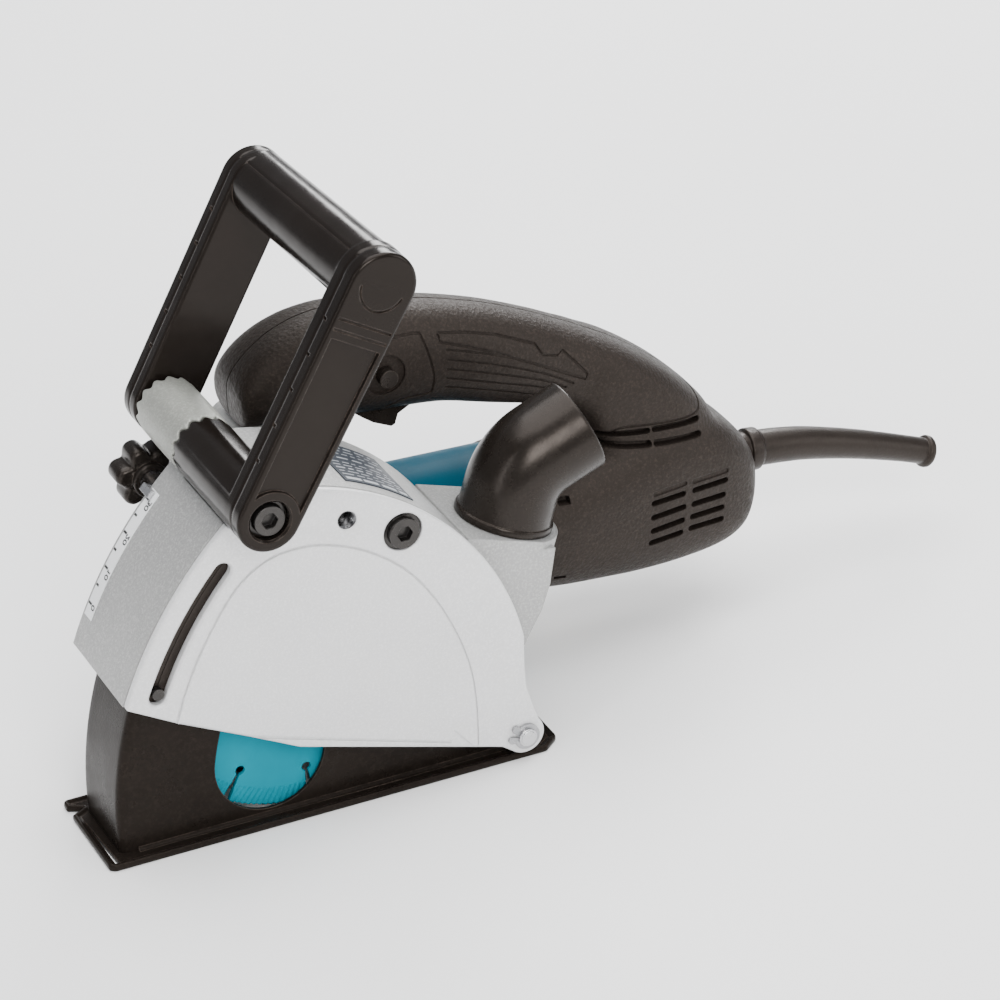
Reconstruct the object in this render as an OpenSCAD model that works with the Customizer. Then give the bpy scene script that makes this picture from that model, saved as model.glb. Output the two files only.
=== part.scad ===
/* [Blades and depth] */
// Diameter of each diamond blade
blade_d = 125; // [120:0.5:125]
// Thickness of each blade
blade_t = 2.2; // [1.8:0.1:2.4]
// Distance between the two blade mid-planes
blade_gap = 30; // [28:0.5:30]
// Teeth of the ring gear
ring_teeth = 36; // [36:4:36]
// Teeth of the pinion
pinion_teeth = 11; // [11:1:11]

/* [Foot] */
// Half width of the foot plate
foot_hw = 27.5; // [26.5:0.5:27.5]
// Height of the hinge pin above the underside
pin_z = 12.5; // [12.5:0.5:12.5]
// Thickness of the pressed foot plate
foot_t = 2.6; // [2:0.1:3]

/* [Blade case] */
// Half width of the case inside
case_in = 25.4; // [25.4:0.1:26]
// Thickness of the case walls and of the side cover
case_wall = 4; // [3.5:0.1:4]
// Pitch of the case from its fully plunged attitude, degrees
pitch = 17.5; // [17.5:0.5:17.5]
// Outer radius of the dust outlet tube
duct_r = 19.8; // [19:0.1:20.5]

/* [Motor] */
// Distance of the motor axis from the blade-case mid-plane
ym = 64; // [64:1:66]
// Downward slope of the motor axis towards the rear, degrees
motor_tilt = 2; // [2:0.5:2]
// Outer radius of the motor housing
motor_r = 33; // [33:0.5:34]

/* [Front grip] */
// Length of the grip arms between pivot and grip bar
arm_l = 101.9; // [95:0.5:105]
// Lean of the grip arms above the horizontal, degrees
arm_a = 60.1; // [55:0.5:70]
// Radius of the grip bar
bar_r = 14.5; // [13:0.5:15]

/* [Hidden] */
$fn = 64;
// offset of the design axes from the stored origin
ox = -33.263;
oy = -24.4;
// spindle axis
sx = -98;
sz = 65.4;
// grip pivot axis
gx = -118;
gz = 157;
// radii about the hinge pin
slot_r = 173.3;
case_r = 185.3;
case_ri = 181;
// top arc of the case
tcx = -117.7;
tcz = 35.9;
tr = 120.5;
// swivel axis of the dust outlet
px = 5.1;
pz = 100.5;
blade_y = blade_gap / 2;
cone_l = sqrt(pow(27, 2) + pow(27 * pinion_teeth / ring_teeth, 2));

module place() { translate([ox, oy, 0]) children(); }
// prism with its outline in the XZ plane, from y0 to y1
module slab(pts, y0, y1) { translate([0, y1, 0]) rotate([90, 0, 0]) linear_extrude(y1 - y0) polygon(pts); }
module rod_y(x, z, r, y0, y1) { translate([x, y1, z]) rotate([90, 0, 0]) cylinder(r = r, h = y1 - y0); }
// body of revolution about a Y axis, profile points are [radius, y]
module turn_y(x, z, pts) { translate([x, 0, z]) rotate([-90, 0, 0]) rotate_extrude() polygon(pts); }
module motor_frame() { translate([sx, ym, sz]) rotate([0, motor_tilt, 0]) children(); }
// body of revolution about the motor axis, profile points are [radius, distance]
module turn_m(pts) { motor_frame() rotate([0, 90, 0]) rotate_extrude() polygon(pts); }
module port_frame() { translate([px, 0, pz]) rotate([0, pitch, 0]) children(); }
function P(r, a) = [-r * cos(a), pin_z + r * sin(a)];
function parc(r, a0, a1, n) = [for (i = [0:n]) P(r, a0 + (a1 - a0) * i / n)];
function carc(x, z, r, a0, a1, n) = [for (i = [0:n]) let (a = a0 + (a1 - a0) * i / n) [x + r * cos(a), z + r * sin(a)]];
function sp(v, e) = sign(v) * pow(abs(v), e);
// vertical superellipse ring at x: low, high, half width, exponent
function ring(x, zl, zh, hw, e, n) = [for (i = [0:n - 1]) let (a = 360 * i / n)
  [x, ym + hw * sp(cos(a), 2 / e), (zl + zh) / 2 + (zh - zl) / 2 * sp(sin(a), 2 / e)]];
module loft(rings) {
  n = len(rings[0]);
  m = len(rings);
  polyhedron(points = [for (r = rings) for (q = r) q],
    faces = concat([[for (i = [0:n - 1]) i]],
      [for (j = [0:m - 2]) for (i = [0:n - 1]) [j * n + i, (j + 1) * n + i, (j + 1) * n + (i + 1) % n, j * n + (i + 1) % n]],
      [[for (i = [n - 1:-1:0]) (m - 1) * n + i]]));
}
// band of width w along a polyline
function stroke(p, w) = let (n = len(p), nv = [for (i = [0:n - 1]) let (a = p[max(i - 1, 0)], b = p[min(i + 1, n - 1)], d = b - a, l = norm(d)) [-d[1] / l, d[0] / l]])
  concat([for (i = [0:n - 1]) p[i] + nv[i] * w / 2], [for (i = [n - 1:-1:0]) p[i] - nv[i] * w / 2]);

// ---------------------------------------------------------------- foot
wall_out = concat(parc(178, -3.2, 25, 12), [[-132, 77], [-60, 46.5], [-14, 26], [-6, 20]], carc(0, pin_z, 9, 130, -60, 14), [[4, 1.2], [-177, 1.2]]);
window_out = concat(parc(136.4, 46, 8.5, 14), carc(P(112.1, 8.5)[0], P(112.1, 8.5)[1], 24.3, 171.5, 360 - 8.5, 20), parc(87.8, 8.5, 60, 14));
module base_shoe() color("#2b2824") place() difference() {
  union() {
    linear_extrude(foot_t) difference() {
      polygon([[-185.2, -foot_hw + 2], [-183.2, -foot_hw], [10.6, -foot_hw], [18, -foot_hw + 6], [18, foot_hw - 2], [16, foot_hw], [-183.2, foot_hw], [-185.2, foot_hw - 2]]);
      translate([-171, -18]) square([141, 36]);
    }
    // turned-up edges
    translate([-185.2, -foot_hw + 2, 0]) cube([2.2, 2 * foot_hw - 4, 4.4]);
    translate([-183.2, -foot_hw, 0]) cube([193.8, 1.6, 3.1]);
    translate([-183.2, foot_hw - 1.6, 0]) cube([198.8, 1.6, 3.1]);
    translate([16.4, -foot_hw + 6, 0]) cube([1.6, 2 * foot_hw - 8, 3.1]);
    for (s = [-1, 1]) {
      slab(wall_out, s > 0 ? 18 : -19.5, s > 0 ? 19.5 : -18);
      rod_y(0, pin_z, 7.2, s > 0 ? 15 : -19.5, s > 0 ? 19.5 : -15);
    }
    slab(concat(parc(178, -3.2, 25, 12), parc(176.5, 25, -3.2, 12)), -18.5, 18.5);
  }
  slab(window_out, -30, 30);
  rod_y(0, pin_z, 4.05, -40, 40);
  rod_y(P(slot_r, 22.3)[0], P(slot_r, 22.3)[1], 2.5, -30, 0);
  rod_y(P(slot_r, 22.3)[0], P(slot_r, 22.3)[1], 4, -18, 0);
  // sighting notch in the front edge
  translate([-186, 16, -1]) linear_extrude(8) polygon([[0, 0], [6.5, 3], [0, 6]]);
}
module guide_pin() color("silver") place() {
  rod_y(P(slot_r, 22.3)[0], P(slot_r, 22.3)[1], 2.5, -28.8, -17.9);
  rod_y(P(slot_r, 22.3)[0], P(slot_r, 22.3)[1], 4, -18, -16.7);
}
module return_spring() color("dimgray") place() {
  for (i = [0:7]) turn_spring(-7.6 + i * 2.15);
  translate([5.6, -8.6, pin_z]) rotate([0, -14, 0]) cylinder(r = 1, h = 26, $fn = 24);
}
module turn_spring(y) { translate([0, y, pin_z]) rotate([90, 0, 0]) rotate_extrude($fn = 40) translate([5.9, 0]) circle(r = 1.1, $fn = 16); }

// ---------------------------------------------------------------- blade case
cover_out = concat(parc(case_r, 19.7, 50, 20), carc(tcx, tcz, tr, 87.5, 11.6, 32),
  [[0.3, 47.4], [1, 36], [3.9, 25.8]], carc(0, pin_z, 8.8, 42, -128, 16),
  [[-10.5, 9.3], [-101.2, 36.3], [-122.8, 47.6], [-152.7, 62.5]]);
rim_in = concat(parc(case_ri, 15, 50, 20), carc(tcx, tcz, tr - 3.8, 88, 11.6, 32), [[-3.5, 47], [-3.5, 30], [-60, -30], [-150, 0]]);
rim_out = concat(parc(case_r, 19.7, 50, 20), carc(tcx, tcz, tr, 87.5, 11.6, 32), [[0.3, 47.4], [-3.5, 47.4], [-60, 50], [P(case_ri, 19.7)[0], P(case_ri, 19.7)[1]]]);
scr = [for (a = [40, 140, 220, 320]) [sx + 32.5 * cos(a), sz + 32.5 * sin(a)]];
module port_block(r, h0, h1) { port_frame() translate([0, 0, h0]) cylinder(r = r, h = h1 - h0); }
module y_clip(y0, y1) { intersection() { children(); translate([-400, y0, -100]) cube([800, y1 - y0, 500]); } }
module blade_case() color("#c3c3c1") place() difference() {
  union() {
    slab(rim_out, -case_in, case_in);
    slab(cover_out, case_in, case_in + case_wall);
    // dust chamber behind the blades
    y_clip(-22, case_in + case_wall) port_block(23.6, -50, 0);
    y_clip(-22, case_in + case_wall) port_frame() translate([-27, -30, -50]) cube([27, 60, 50]);
    slab([[-4, 50], [4, 52.6], [11.9, 66.4], [15.8, 77.6], [18.4, 94], [0, 96]], -22, 21);
    // seat of the gear head
    rod_y(sx, sz, 39, case_in + case_wall - 0.2, 31.4);
    // saddle of the grip holder
    intersection() { rod_y(gx, gz, 18.5, -case_in, case_in + case_wall); slab(cover_out, -case_in, case_in + case_wall); }
    intersection() {
      rod_y(-52.9, 124.3, 9.5, -case_in, case_in);
      slab(cover_out, -case_in, case_in);
    }
  }
  difference() {
    slab(rim_in, -case_in - 1, case_in);
    rod_y(gx, gz, 18.5, -case_in - 2, case_in + 1);
    rod_y(-52.9, 124.3, 8, -case_in - 2, case_in + 1);
  }
  // inside of the dust chamber
  y_clip(-19.1, case_in) port_block(20.4, -46.5, -4);
  y_clip(-19.1, case_in) port_frame() translate([-34, -30, -46.5]) cube([34, 60, 42.5]);
  slab([[-6, 56], [0.8, 56.5], [8.6, 69.5], [12, 80], [13, 90], [-6, 92]], -18.6, 18);
  port_frame() translate([0, 0, -5]) cylinder(r = 18.25, h = 6);
  // saddle bores
  rod_y(gx, gz, 14.2, -40, 15.3);
  rod_y(gx, gz, 13.5, 15, 40);
  // bearing box seat, hinge bore, arc slot of the depth stop, bolt holes
  rod_y(sx, sz, 24, 20, 40);
  rod_y(0, pin_z, 4, 20, 40);
  slab(concat(parc(slot_r + 3.1, 23.7, 42.3, 14), carc(P(slot_r, 42.3)[0], P(slot_r, 42.3)[1], 3.1, 137.7, 317.7 - 360, 10), parc(slot_r - 3.1, 42.3, 23.7, 14), carc(P(slot_r, 23.7)[0], P(slot_r, 23.7)[1], 3.1, 336.3, 156.3, 10)), 20, 40);
  rod_y(-52.9, 124.3, 4, -40, 5);
  for (q = scr) rod_y(q[0], q[1], 2.5, 20, 40);
}
ridge = [[-153.7, 63.2], [-149.5, 76], [-143.3, 90.2], [-137, 101.5], [-130.5, 111.5], [-123.5, 119.8], [-115.5, 125.5], [-106.5, 128.6], [-95.5, 129], [-84.5, 126.8], [-71, 121], [-58.5, 112.5], [-48.5, 102.5], [-40, 90.2], [-33, 76.5], [-27.5, 62.5], [-23.6, 47], [-22.2, 30], [-22, 13.4]];
module side_cover() color("#cfcfcd") place() difference() {
  union() {
    slab(cover_out, -case_in - case_wall, -case_in);
    rod_y(-76.9, 135.7, 7.5, -case_in, -13);
    rod_y(0, pin_z, 8.5, -case_in - 1, -20.2);
  }
  slab(stroke(ridge, 1.3), -case_in - case_wall - 1, -case_in - case_wall + 0.6);
  rod_y(gx, gz, 14.2, -40, 0);
  slab(concat(parc(slot_r + 3.1, 21.9, 41.2, 14), carc(P(slot_r, 41.2)[0], P(slot_r, 41.2)[1], 3.1, 138.8, 318.8 - 360, 10), parc(slot_r - 3.1, 41.2, 21.9, 14), carc(P(slot_r, 21.9)[0], P(slot_r, 21.9)[1], 3.1, 338.1, 158.1, 10)), -40, -20);
  rod_y(-52.9, 124.3, 8.4, -40, -case_in - case_wall + 2.6);
  rod_y(-52.9, 124.3, 4, -40, -10);
  rod_y(-76.9, 135.7, 3.4, -40, -14.5);
  rod_y(0, pin_z, 4, -40, -10);
}
module hex_y(x, z, r, y0, y1) { translate([x, y1, z]) rotate([90, 0, 0]) cylinder(r = r, h = y1 - y0, $fn = 6); }
module cover_bolt() color("#22201d") place() difference() {
  union() {
    rod_y(-52.9, 124.3, 4, -26.8, 4.9);
    rod_y(-52.9, 124.3, 6.6, -31.4, -26.8);
    rod_y(-52.9, 124.3, 8.3, -28.2, -26.8);
  }
  hex_y(-52.9, 124.3, 3.5, -32, -28.4);
}
module teeth_y(y, s, r0, r1) { for (i = [0:13]) translate([gx, y, gz]) rotate([0, i * 360 / 14, 0]) translate([r0, 0, 0]) rotate([0, 90, 0]) cylinder(r = 1.55, h = r1 - r0, $fn = 20); }
module grip_holder() color("#a9ada0") place() difference() {
  union() {
    rod_y(gx, gz, 13.5, 17.6, 54.4);
    teeth_y(17.6, 1, 8.6, 13.3);
    teeth_y(54.4, 1, 8.6, 13.3);
  }
  rod_y(gx, gz, 4.06, 10, 60);
  rod_y(gx, gz, 8, 13, 17.7);
  rod_y(gx, gz, 8, 54.3, 60);
}
module name_plate() color("#8d9094") place() {
  slab(concat(carc(tcx, tcz, tr + 0.45, 68, 52, 8), carc(tcx, tcz, tr + 0.05, 52, 68, 8)), -19, 19);
}
module depth_scale() color("white") place() {
  slab(concat(parc(case_r + 0.36, 24.2, 42.6, 12), parc(case_r + 0.03, 42.6, 24.2, 12)), 20.6, 27.6);
}
module hinge_pin() color("silver") place() difference() {
  union() {
    rod_y(0, pin_z, 4, -31.9, 31.9);
    rod_y(0, pin_z, 3.2, -32.4, 32.4);
  }
  for (s = [-1, 1]) difference() { rod_y(0, pin_z, 6, s > 0 ? 29.6 : -30.7, s > 0 ? 30.7 : -29.6); rod_y(0, pin_z, 3.5, -40, 40); }
}
module hinge_circlips() color("#8f8f8f") place() for (s = [-1, 1]) difference() {
  union() {
    rod_y(0, pin_z, 5.8, s > 0 ? 29.65 : -30.65, s > 0 ? 30.65 : -29.65);
    for (a = [-22, 22]) translate([6.6 * cos(a + 160), 0, pin_z + 6.6 * sin(a + 160)]) rod_y(0, 0, 1.7, s > 0 ? 29.65 : -30.65, s > 0 ? 30.65 : -29.65);
  }
  rod_y(0, pin_z, 3.5, -40, 40);
  slab([[-1, pin_z], [-12, pin_z + 6.2], [-12, pin_z + 2.2]], -40, 40);
}

// ---------------------------------------------------------------- gear head
nose = concat([[-91.5, 90], [-91.5, 124]], carc(-79.5, 127, 12, 180, 90, 8), [[-56, 138.6], [-47, 131], [-44, 114], [-51, 102], [-51, 90]]);
module gear_housing() color("#b9b9b6") place() difference() {
  union() {
    turn_y(sx, sz, [[0, 31.4], [39, 31.4], [39, 37.4], [36.5, 39.5], [36.5, 80], [31, 86.5], [12, 86.5], [10.5, 89.5], [0, 89.5]]);
    turn_m([[0, 0], [32, 0], [32, 41], [34.4, 43], [34.4, 48], [0, 48]]);
    slab(nose, 44, 84);
    motor_frame() for (a = [45, 135, 225, 315]) rotate([a, 0, 0]) translate([38, 0, 37.5]) rotate([0, 90, 0]) cylinder(r = 5.2, h = 9.7);
    // shaft lock turret
    translate([sx - 42.5, 50, sz]) rotate([0, 90, 0]) cylinder(r = 8, h = 14);
  }
  turn_y(sx, sz, [[0, 31], [29.6, 31], [29.6, 34.4], [31, 34.4], [31, 74], [7, 74], [7, 86.4], [0, 86.4]]);
  rod_y(sx, sz, 24, 30, 40.4);
  turn_m([[0, 5], [12, 5], [12, 37], [14, 37], [14, 49], [0, 49]]);
  // hollow neck
  slab([[-86, 104], [-86, 132], [-58, 132], [-50, 126], [-50, 104]], 49, 79);
  for (q = scr) rod_y(q[0], q[1], 2.55, 30, 60);
  for (q = scr) rod_y(q[0], q[1], 4.9, 37.4, 45);
  motor_frame() for (a = [45, 135, 225, 315]) rotate([a, 0, 0]) translate([36, 0, 37.5]) rotate([0, 90, 0]) cylinder(r = 2.1, h = 14);
  translate([sx - 45, 50, sz]) rotate([0, 90, 0]) cylinder(r = 3.05, h = 20);
  translate([sx - 45, 50, sz]) rotate([0, 90, 0]) cylinder(r = 5.6, h = 7.4);
  for (x = [-77, -62]) translate([x, ym, 131]) cylinder(r = 2.1, h = 12);
}
module bearing_box() color("#9d9d9b") place() turn_y(sx, sz, [[10, 24.4], [23.9, 24.4], [23.9, 31.4], [29.5, 31.4], [29.5, 34.4], [23.9, 34.4], [23.9, 40], [17.5, 40], [17.5, 27], [10, 27]]);
// sealed ball bearing profile between bore radius a and outer radius b, from y0 to y1
function brg(a, b, y0, y1) = let (s = (b - a) * 0.3) [[a, y0], [a + s, y0], [a + s, y0 + 0.7], [b - s, y0 + 0.7], [b - s, y0], [b, y0], [b, y1], [b - s, y1], [b - s, y1 - 0.7], [a + s, y1 - 0.7], [a + s, y1], [a, y1]];
module spindle_bearing() color("silver") place() turn_y(sx, sz, brg(7.5, 17.5, 27, 38));
module needle_bearing() color("silver") place() turn_y(sx, sz, [[5, 74.2], [7, 74.2], [7, 86.2], [5, 86.2]]);
module gear_screws() color("#4a4a48") place() for (q = scr) difference() {
  union() { rod_y(q[0], q[1], 2.5, 28.2, 37.4); rod_y(q[0], q[1], 4.3, 37.4, 42.2); }
  hex_y(q[0], q[1], 2.3, 39.6, 43);
}
module housing_screws() color("#4a4a48") place() motor_frame() for (a = [45, 135, 225, 315]) rotate([a, 0, 0]) translate([0, 0, 37.5]) rotate([0, 90, 0]) difference() {
  union() { translate([0, 0, 34.6]) cylinder(r = 4, h = 3.4); translate([0, 0, 38]) cylinder(r = 2.1, h = 26); }
  translate([-0.6, -3, 34]) cube([1.2, 6, 2]);
  translate([-3, -0.6, 34]) cube([6, 1.2, 2]);
}
module spindle() color("silver") place() difference() {
  turn_y(sx, sz, [[0, -23.5], [6.2, -23.5], [7, -22.7], [7, -16], [11.08, -16], [11.08, 16.1], [9, 16.1], [9, 26.6], [7.48, 27], [7.48, 38], [7.4, 38], [7.4, 74], [4.98, 74], [4.98, 85.4], [4.2, 86], [0, 86]]);
  hex_y(sx, sz, 4, -24, -17);
}
// straight bevel tooth between cone distances, cone angles from root to tip, half widths at root and tip
module bevel_tooth(l0, l1, ra, ta, wr, wt) {
  function q(l, a, w) = [l * cos(a), w * l / cone_l, l * sin(a)];
  polyhedron(points = [q(l0, ra, -wr), q(l0, ra, wr), q(l0, ta, wt), q(l0, ta, -wt), q(l1, ra, -wr), q(l1, ra, wr), q(l1, ta, wt), q(l1, ta, -wt)],
    faces = [[0, 1, 2, 3], [7, 6, 5, 4], [0, 4, 5, 1], [1, 5, 6, 2], [2, 6, 7, 3], [3, 7, 4, 0]]);
}
d1 = atan(pinion_teeth / ring_teeth);
module ring_gear() color("#6f6f6c") place() union() {
  turn_y(sx, sz, [for (q = [[7.4, 7.2], [18, 6.7], [26.45, 9.86], [26.45, 13.5], [20, 17], [11, 17], [11, 20], [7.4, 20]]) [q[0], ym - q[1]]]);
  // axis of the cone family runs towards -Y
  motor_frame() rotate([0, 0, -90]) for (i = [0:ring_teeth - 1]) rotate([(i + 0.5) * 360 / ring_teeth, 0, 0]) bevel_tooth(cone_l - 8.6, cone_l - 0.1, 90 - d1 - 4.2, 90 - d1 + 2.4, 1.45, 0.55);
}
module pinion() color("#6f6f6c") place() union() {
  turn_m([[3.5, 18.7], [4.5, 18.7], [6.61, 27.45], [6.61, 34], [3.5, 34]]);
  motor_frame() for (i = [0:pinion_teeth - 1]) rotate([90 + i * 360 / pinion_teeth, 0, 0]) bevel_tooth(cone_l - 8.6, cone_l - 0.1, d1 - 4.2, d1 + 2.4, 1.45, 0.55);
}
module inner_flange() color("#8a8a88") place() turn_y(sx, sz, [[9, 16.1], [20, 16.1], [20, 19], [17, 21], [9, 21]]);
module spacer_rings() color("#7d7d7b") place() for (i = [0:3]) let (t = (blade_gap - blade_t) / 4, y = -(blade_gap - blade_t) / 2 + i * t)
  turn_y(sx, sz, [[11.12, y], [16.5, y], [17, y + 0.5], [17, y + t - 0.5], [16.5, y + t], [11.12, y + t]]);
module blade_disc(y) difference() {
  union() {
    rod_y(sx, sz, blade_d / 2 - 7, y - 0.8, y + 0.8);
    difference() { rod_y(sx, sz, blade_d / 2, y - blade_t / 2, y + blade_t / 2); rod_y(sx, sz, blade_d / 2 - 8, y - 3, y + 3); }
    rod_y(sx, sz, 20, y - blade_t / 2, y + blade_t / 2);
  }
  rod_y(sx, sz, 11.115, y - 3, y + 3);
  // keyhole slots
  for (i = [0:9]) translate([sx, y, sz]) rotate([0, 31 + i * 36, 0]) {
    translate([0, 3, -48.2]) rotate([90, 0, 0]) cylinder(r = 2.1, h = 6, $fn = 24);
    translate([-0.8, -3, -64]) cube([1.6, 6, 15]);
  }
}
module near_blade() color("#1795b5") place() blade_disc(-blade_y);
module far_blade() color("#1795b5") place() blade_disc(blade_y);
module lock_nut() color("#3c3c3a") place() difference() {
  turn_y(sx, sz, [[7, -16.1], [20, -16.1], [20, -18.6], [14, -21.4], [7, -21.4]]);
  for (a = [0, 180]) rod_y(sx + 12 * cos(a), sz + 12 * sin(a), 2.5, -25, -17.6);
}

// ---------------------------------------------------------------- motor
module motor_housing() color("#0d7fa5") place() difference() {
  union() {
    turn_m([[0, 48.02], [34.4, 48.02], [34.4, 54], [motor_r, 57], [motor_r, 129.2], [30.6, 129.2], [30.6, 186], [0, 186]]);
    motor_frame() for (a = [45, 135, 225, 315]) rotate([a, 0, 0]) translate([48, 0, 37.5]) rotate([0, 90, 0]) cylinder(r = 5.2, h = 18);
    // cooling air ribs
    motor_frame() for (i = [0:3]) translate([96 + i * 8, 0, 0]) rotate([0, 90, 0]) cylinder(r = motor_r + 0.8, h = 2.4);
  }
  turn_m([[0, 47], [30.4, 47], [30.4, 128], [28.7, 128], [28.7, 174.6], [9.5, 174.6], [9.5, 183], [6, 183], [6, 187], [0, 187]]);
  motor_frame() for (a = [45, 135, 225, 315]) rotate([a, 0, 0]) translate([47, 0, 37.5]) rotate([0, 90, 0]) cylinder(r = 2.1, h = 17.01);
  // brush windows
  motor_frame() for (s = [0, 180]) rotate([s, 0, 0]) translate([144.9, -6.1, 10]) cube([14.2, 12.2, 30]);
  // air slots
  motor_frame() for (i = [0:5]) rotate([i * 60 + 30, 0, 0]) translate([133, -4, 15]) cube([6, 8, 20]);
}
module baffle_plate() color("#3a3a38") place() turn_m([[20, 68], [30.4, 68], [30.4, 70], [24, 70], [21, 74], [19, 74]]);
module stator_core() color("#777b7e") place() motor_frame() difference() {
  translate([84, 0, 0]) rotate([0, 90, 0]) cylinder(r = 30.2, h = 44);
  translate([83, 0, 0]) rotate([0, 90, 0]) cylinder(r = 17.6, h = 46);
  for (s = [0, 180]) rotate([s, 0, 0]) translate([83, 0, 0]) for (t = [-1, 1]) translate([0, t * 15 - 4, 13.5]) cube([46, 8, 9.5]);
  for (s = [-1, 1]) translate([83, s * 34 - 5, -9]) cube([46, 10, 18]);
}
module stator_coils() color("#a0521d") place() motor_frame() for (s = [0, 180]) rotate([s, 0, 0]) difference() {
  union() {
    for (t = [-1, 1]) translate([78, t * 15 - 3.8, 14]) cube([50, 7.6, 8.6]);
    for (x = [77, 128]) translate([x, -15, 17.9]) cube([x > 100 ? 5 : 6.9, 30, 3.6]);
  }
  translate([70, 0, 0]) rotate([0, 90, 0]) cylinder(r = 17.8, h = 70);
}
module motor_bearing_front() color("silver") place() turn_m(brg(6, 14, 40, 48));
module motor_bearing_rear() color("silver") place() turn_m(brg(3.5, 9.5, 176, 182));
module armature_shaft() color("silver") place() turn_m([[0, 18], [3.5, 18], [3.5, 34], [5.98, 34.2], [5.98, 50], [5, 50], [5, 174.8], [3.48, 175], [3.48, 184], [0, 184]]);
module armature_core() color("#777b7e") place() motor_frame() difference() {
  translate([84, 0, 0]) rotate([0, 90, 0]) cylinder(r = 17.1, h = 44);
  translate([83, 0, 0]) rotate([0, 90, 0]) cylinder(r = 5, h = 46);
  for (i = [0:11]) rotate([i * 30, 0, 0]) translate([83, -1.2, 10.5]) cube([46, 2.4, 8]);
}
module armature_coils() color("#a0521d") place() {
  turn_m([[5, 76], [11, 76], [15.6, 78.5], [15.6, 84], [5, 84]]);
  turn_m([[5, 128], [15.6, 128], [15.6, 133], [11, 137], [5, 137]]);
  motor_frame() for (i = [0:11]) rotate([i * 30, 0, 0]) translate([84, -1.15, 10.6]) cube([44, 2.3, 5.4]);
}
module commutator() color("#b87333") place() motor_frame() difference() {
  translate([140, 0, 0]) rotate([0, 90, 0]) cylinder(r = 12, h = 22);
  translate([139, 0, 0]) rotate([0, 90, 0]) cylinder(r = 5, h = 24);
  for (i = [0:23]) rotate([i * 15, 0, 0]) translate([139, -0.25, 11]) cube([24, 0.5, 2]);
}
module cooling_fan() color("#e8e6df") place() motor_frame() {
  difference() {
    union() {
      translate([51, 0, 0]) rotate([0, 90, 0]) cylinder(r = 27, h = 2);
      translate([51, 0, 0]) rotate([0, 90, 0]) cylinder(r = 10, h = 14);
      for (i = [0:12]) rotate([i * 360 / 13, 0, 0]) translate([52, -0.8, 12]) rotate([18, 0, 0]) cube([13, 1.6, 14]);
    }
    translate([50, 0, 0]) rotate([0, 90, 0]) cylinder(r = 5, h = 18);
  }
}
module brush_holders() color("#c9a13b") place() motor_frame() for (s = [0, 180]) rotate([s, 0, 0]) difference() {
  translate([145, -6, 12.8]) cube([14, 12, 17]);
  translate([147.9, -4.1, 12]) cube([8.2, 8.2, 17.4]);
}
module carbon_brushes() color("#3b3b3b") place() motor_frame() for (s = [0, 180]) rotate([s, 0, 0]) translate([148, -4, 12.2]) cube([8, 8, 12]);
module brush_springs() color("silver") place() motor_frame() for (s = [0, 180]) rotate([s, 0, 0]) for (i = [0:3])
  translate([152, 0, 24.9 + i * 1.2]) rotate_extrude($fn = 32) translate([2.7, 0]) circle(r = 0.65, $fn = 12);

// ---------------------------------------------------------------- rear handle and housing
// [x, underside, top, half width, exponent]
grip_st = [[-88.6, 147.5, 154.6, 12, 2.6], [-88, 142, 157.6, 15.4, 2.8], [-86.2, 139.3, 161.2, 17.5, 2.9], [-81.5, 139.1, 166.8, 19, 2.9], [-75.5, 139.1, 171.8, 19.8, 2.8],
  [-67, 139.1, 176.6, 20.2, 2.7], [-56, 138.8, 180, 20.4, 2.6], [-44, 134.5, 181.2, 20.4, 2.6], [-30, 131.8, 180.4, 20.2, 2.5], [-12, 130.2, 177.6, 19.8, 2.45], [2, 128.4, 174.4, 19.4, 2.4],
  [26, 121.8, 167, 19, 2.4], [54, 114.2, 154.8, 19, 2.5], [63, 110.2, 150.1, 19.4, 2.6], [69, 103, 147.1, 20.2, 2.7], [75, 91, 143.6, 21.8, 2.9], [84, 82, 138.6, 23.4, 3.1], [96, 76, 130.6, 24.8, 3.2], [110, 70, 119.8, 25.6, 3.1], [122, 64, 108.6, 24.6, 2.9], [130, 60, 99.4, 22, 2.7]];
rear_st = [[32.8, 31.6, 91.6, 35.4, 2.4], [38, 31.4, 92, 35.8, 2.5], [52, 30.6, 92.4, 35.8, 2.8], [70, 29.8, 94.6, 35, 3.2], [88, 29, 97.6, 33.8, 3.6], [104, 28.8, 100, 32.6, 3.8],
  [118, 29.2, 98.8, 31.2, 3.8], [130, 30.6, 94, 29.8, 3.7], [138, 32.8, 88.2, 28, 3.5], [143.6, 36.2, 83, 25.8, 3.2], [147.2, 41.5, 78.4, 22.8, 2.8], [149.6, 47.5, 74.4, 18.6, 2.5], [150.6, 52, 71.4, 14, 2.3]];
function grow(st, d, n) = [for (s = st) ring(s[0], s[1] + d, s[2] - d, s[3] - d, s[4], n)];
module handle_outer() { loft(grow(grip_st, 0, 36)); loft(grow(rear_st, 0, 40)); }
module handle_inner() {
  loft([for (s = [grip_st[3], grip_st[5], grip_st[7], grip_st[9], grip_st[11], grip_st[12], grip_st[14], grip_st[16]]) ring(s[0], s[1] + 3, s[2] - 3, s[3] - 3, s[4], 24)]);
  loft([for (s = [rear_st[0], rear_st[2], rear_st[4], rear_st[6], rear_st[8], rear_st[9]]) ring(s[0] < 33 ? 32 : s[0], s[1] + 3, s[2] - 3, s[3] - 3, s[4], 28)]);
}
screw_pts = [[-78, 157.6, 6], [-52, 170, 5.5], [12, 158, 5.5], [60, 130, 5.5], [108, 92, 6], [136, 41, 6], [97, 36, 5.5]];
module vent(x0, z0, x1, z1, r, y0, y1) { hull() { rod_y(x0, z0, r, y0, y1); rod_y(x1, z1, r, y0, y1); } }
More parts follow.
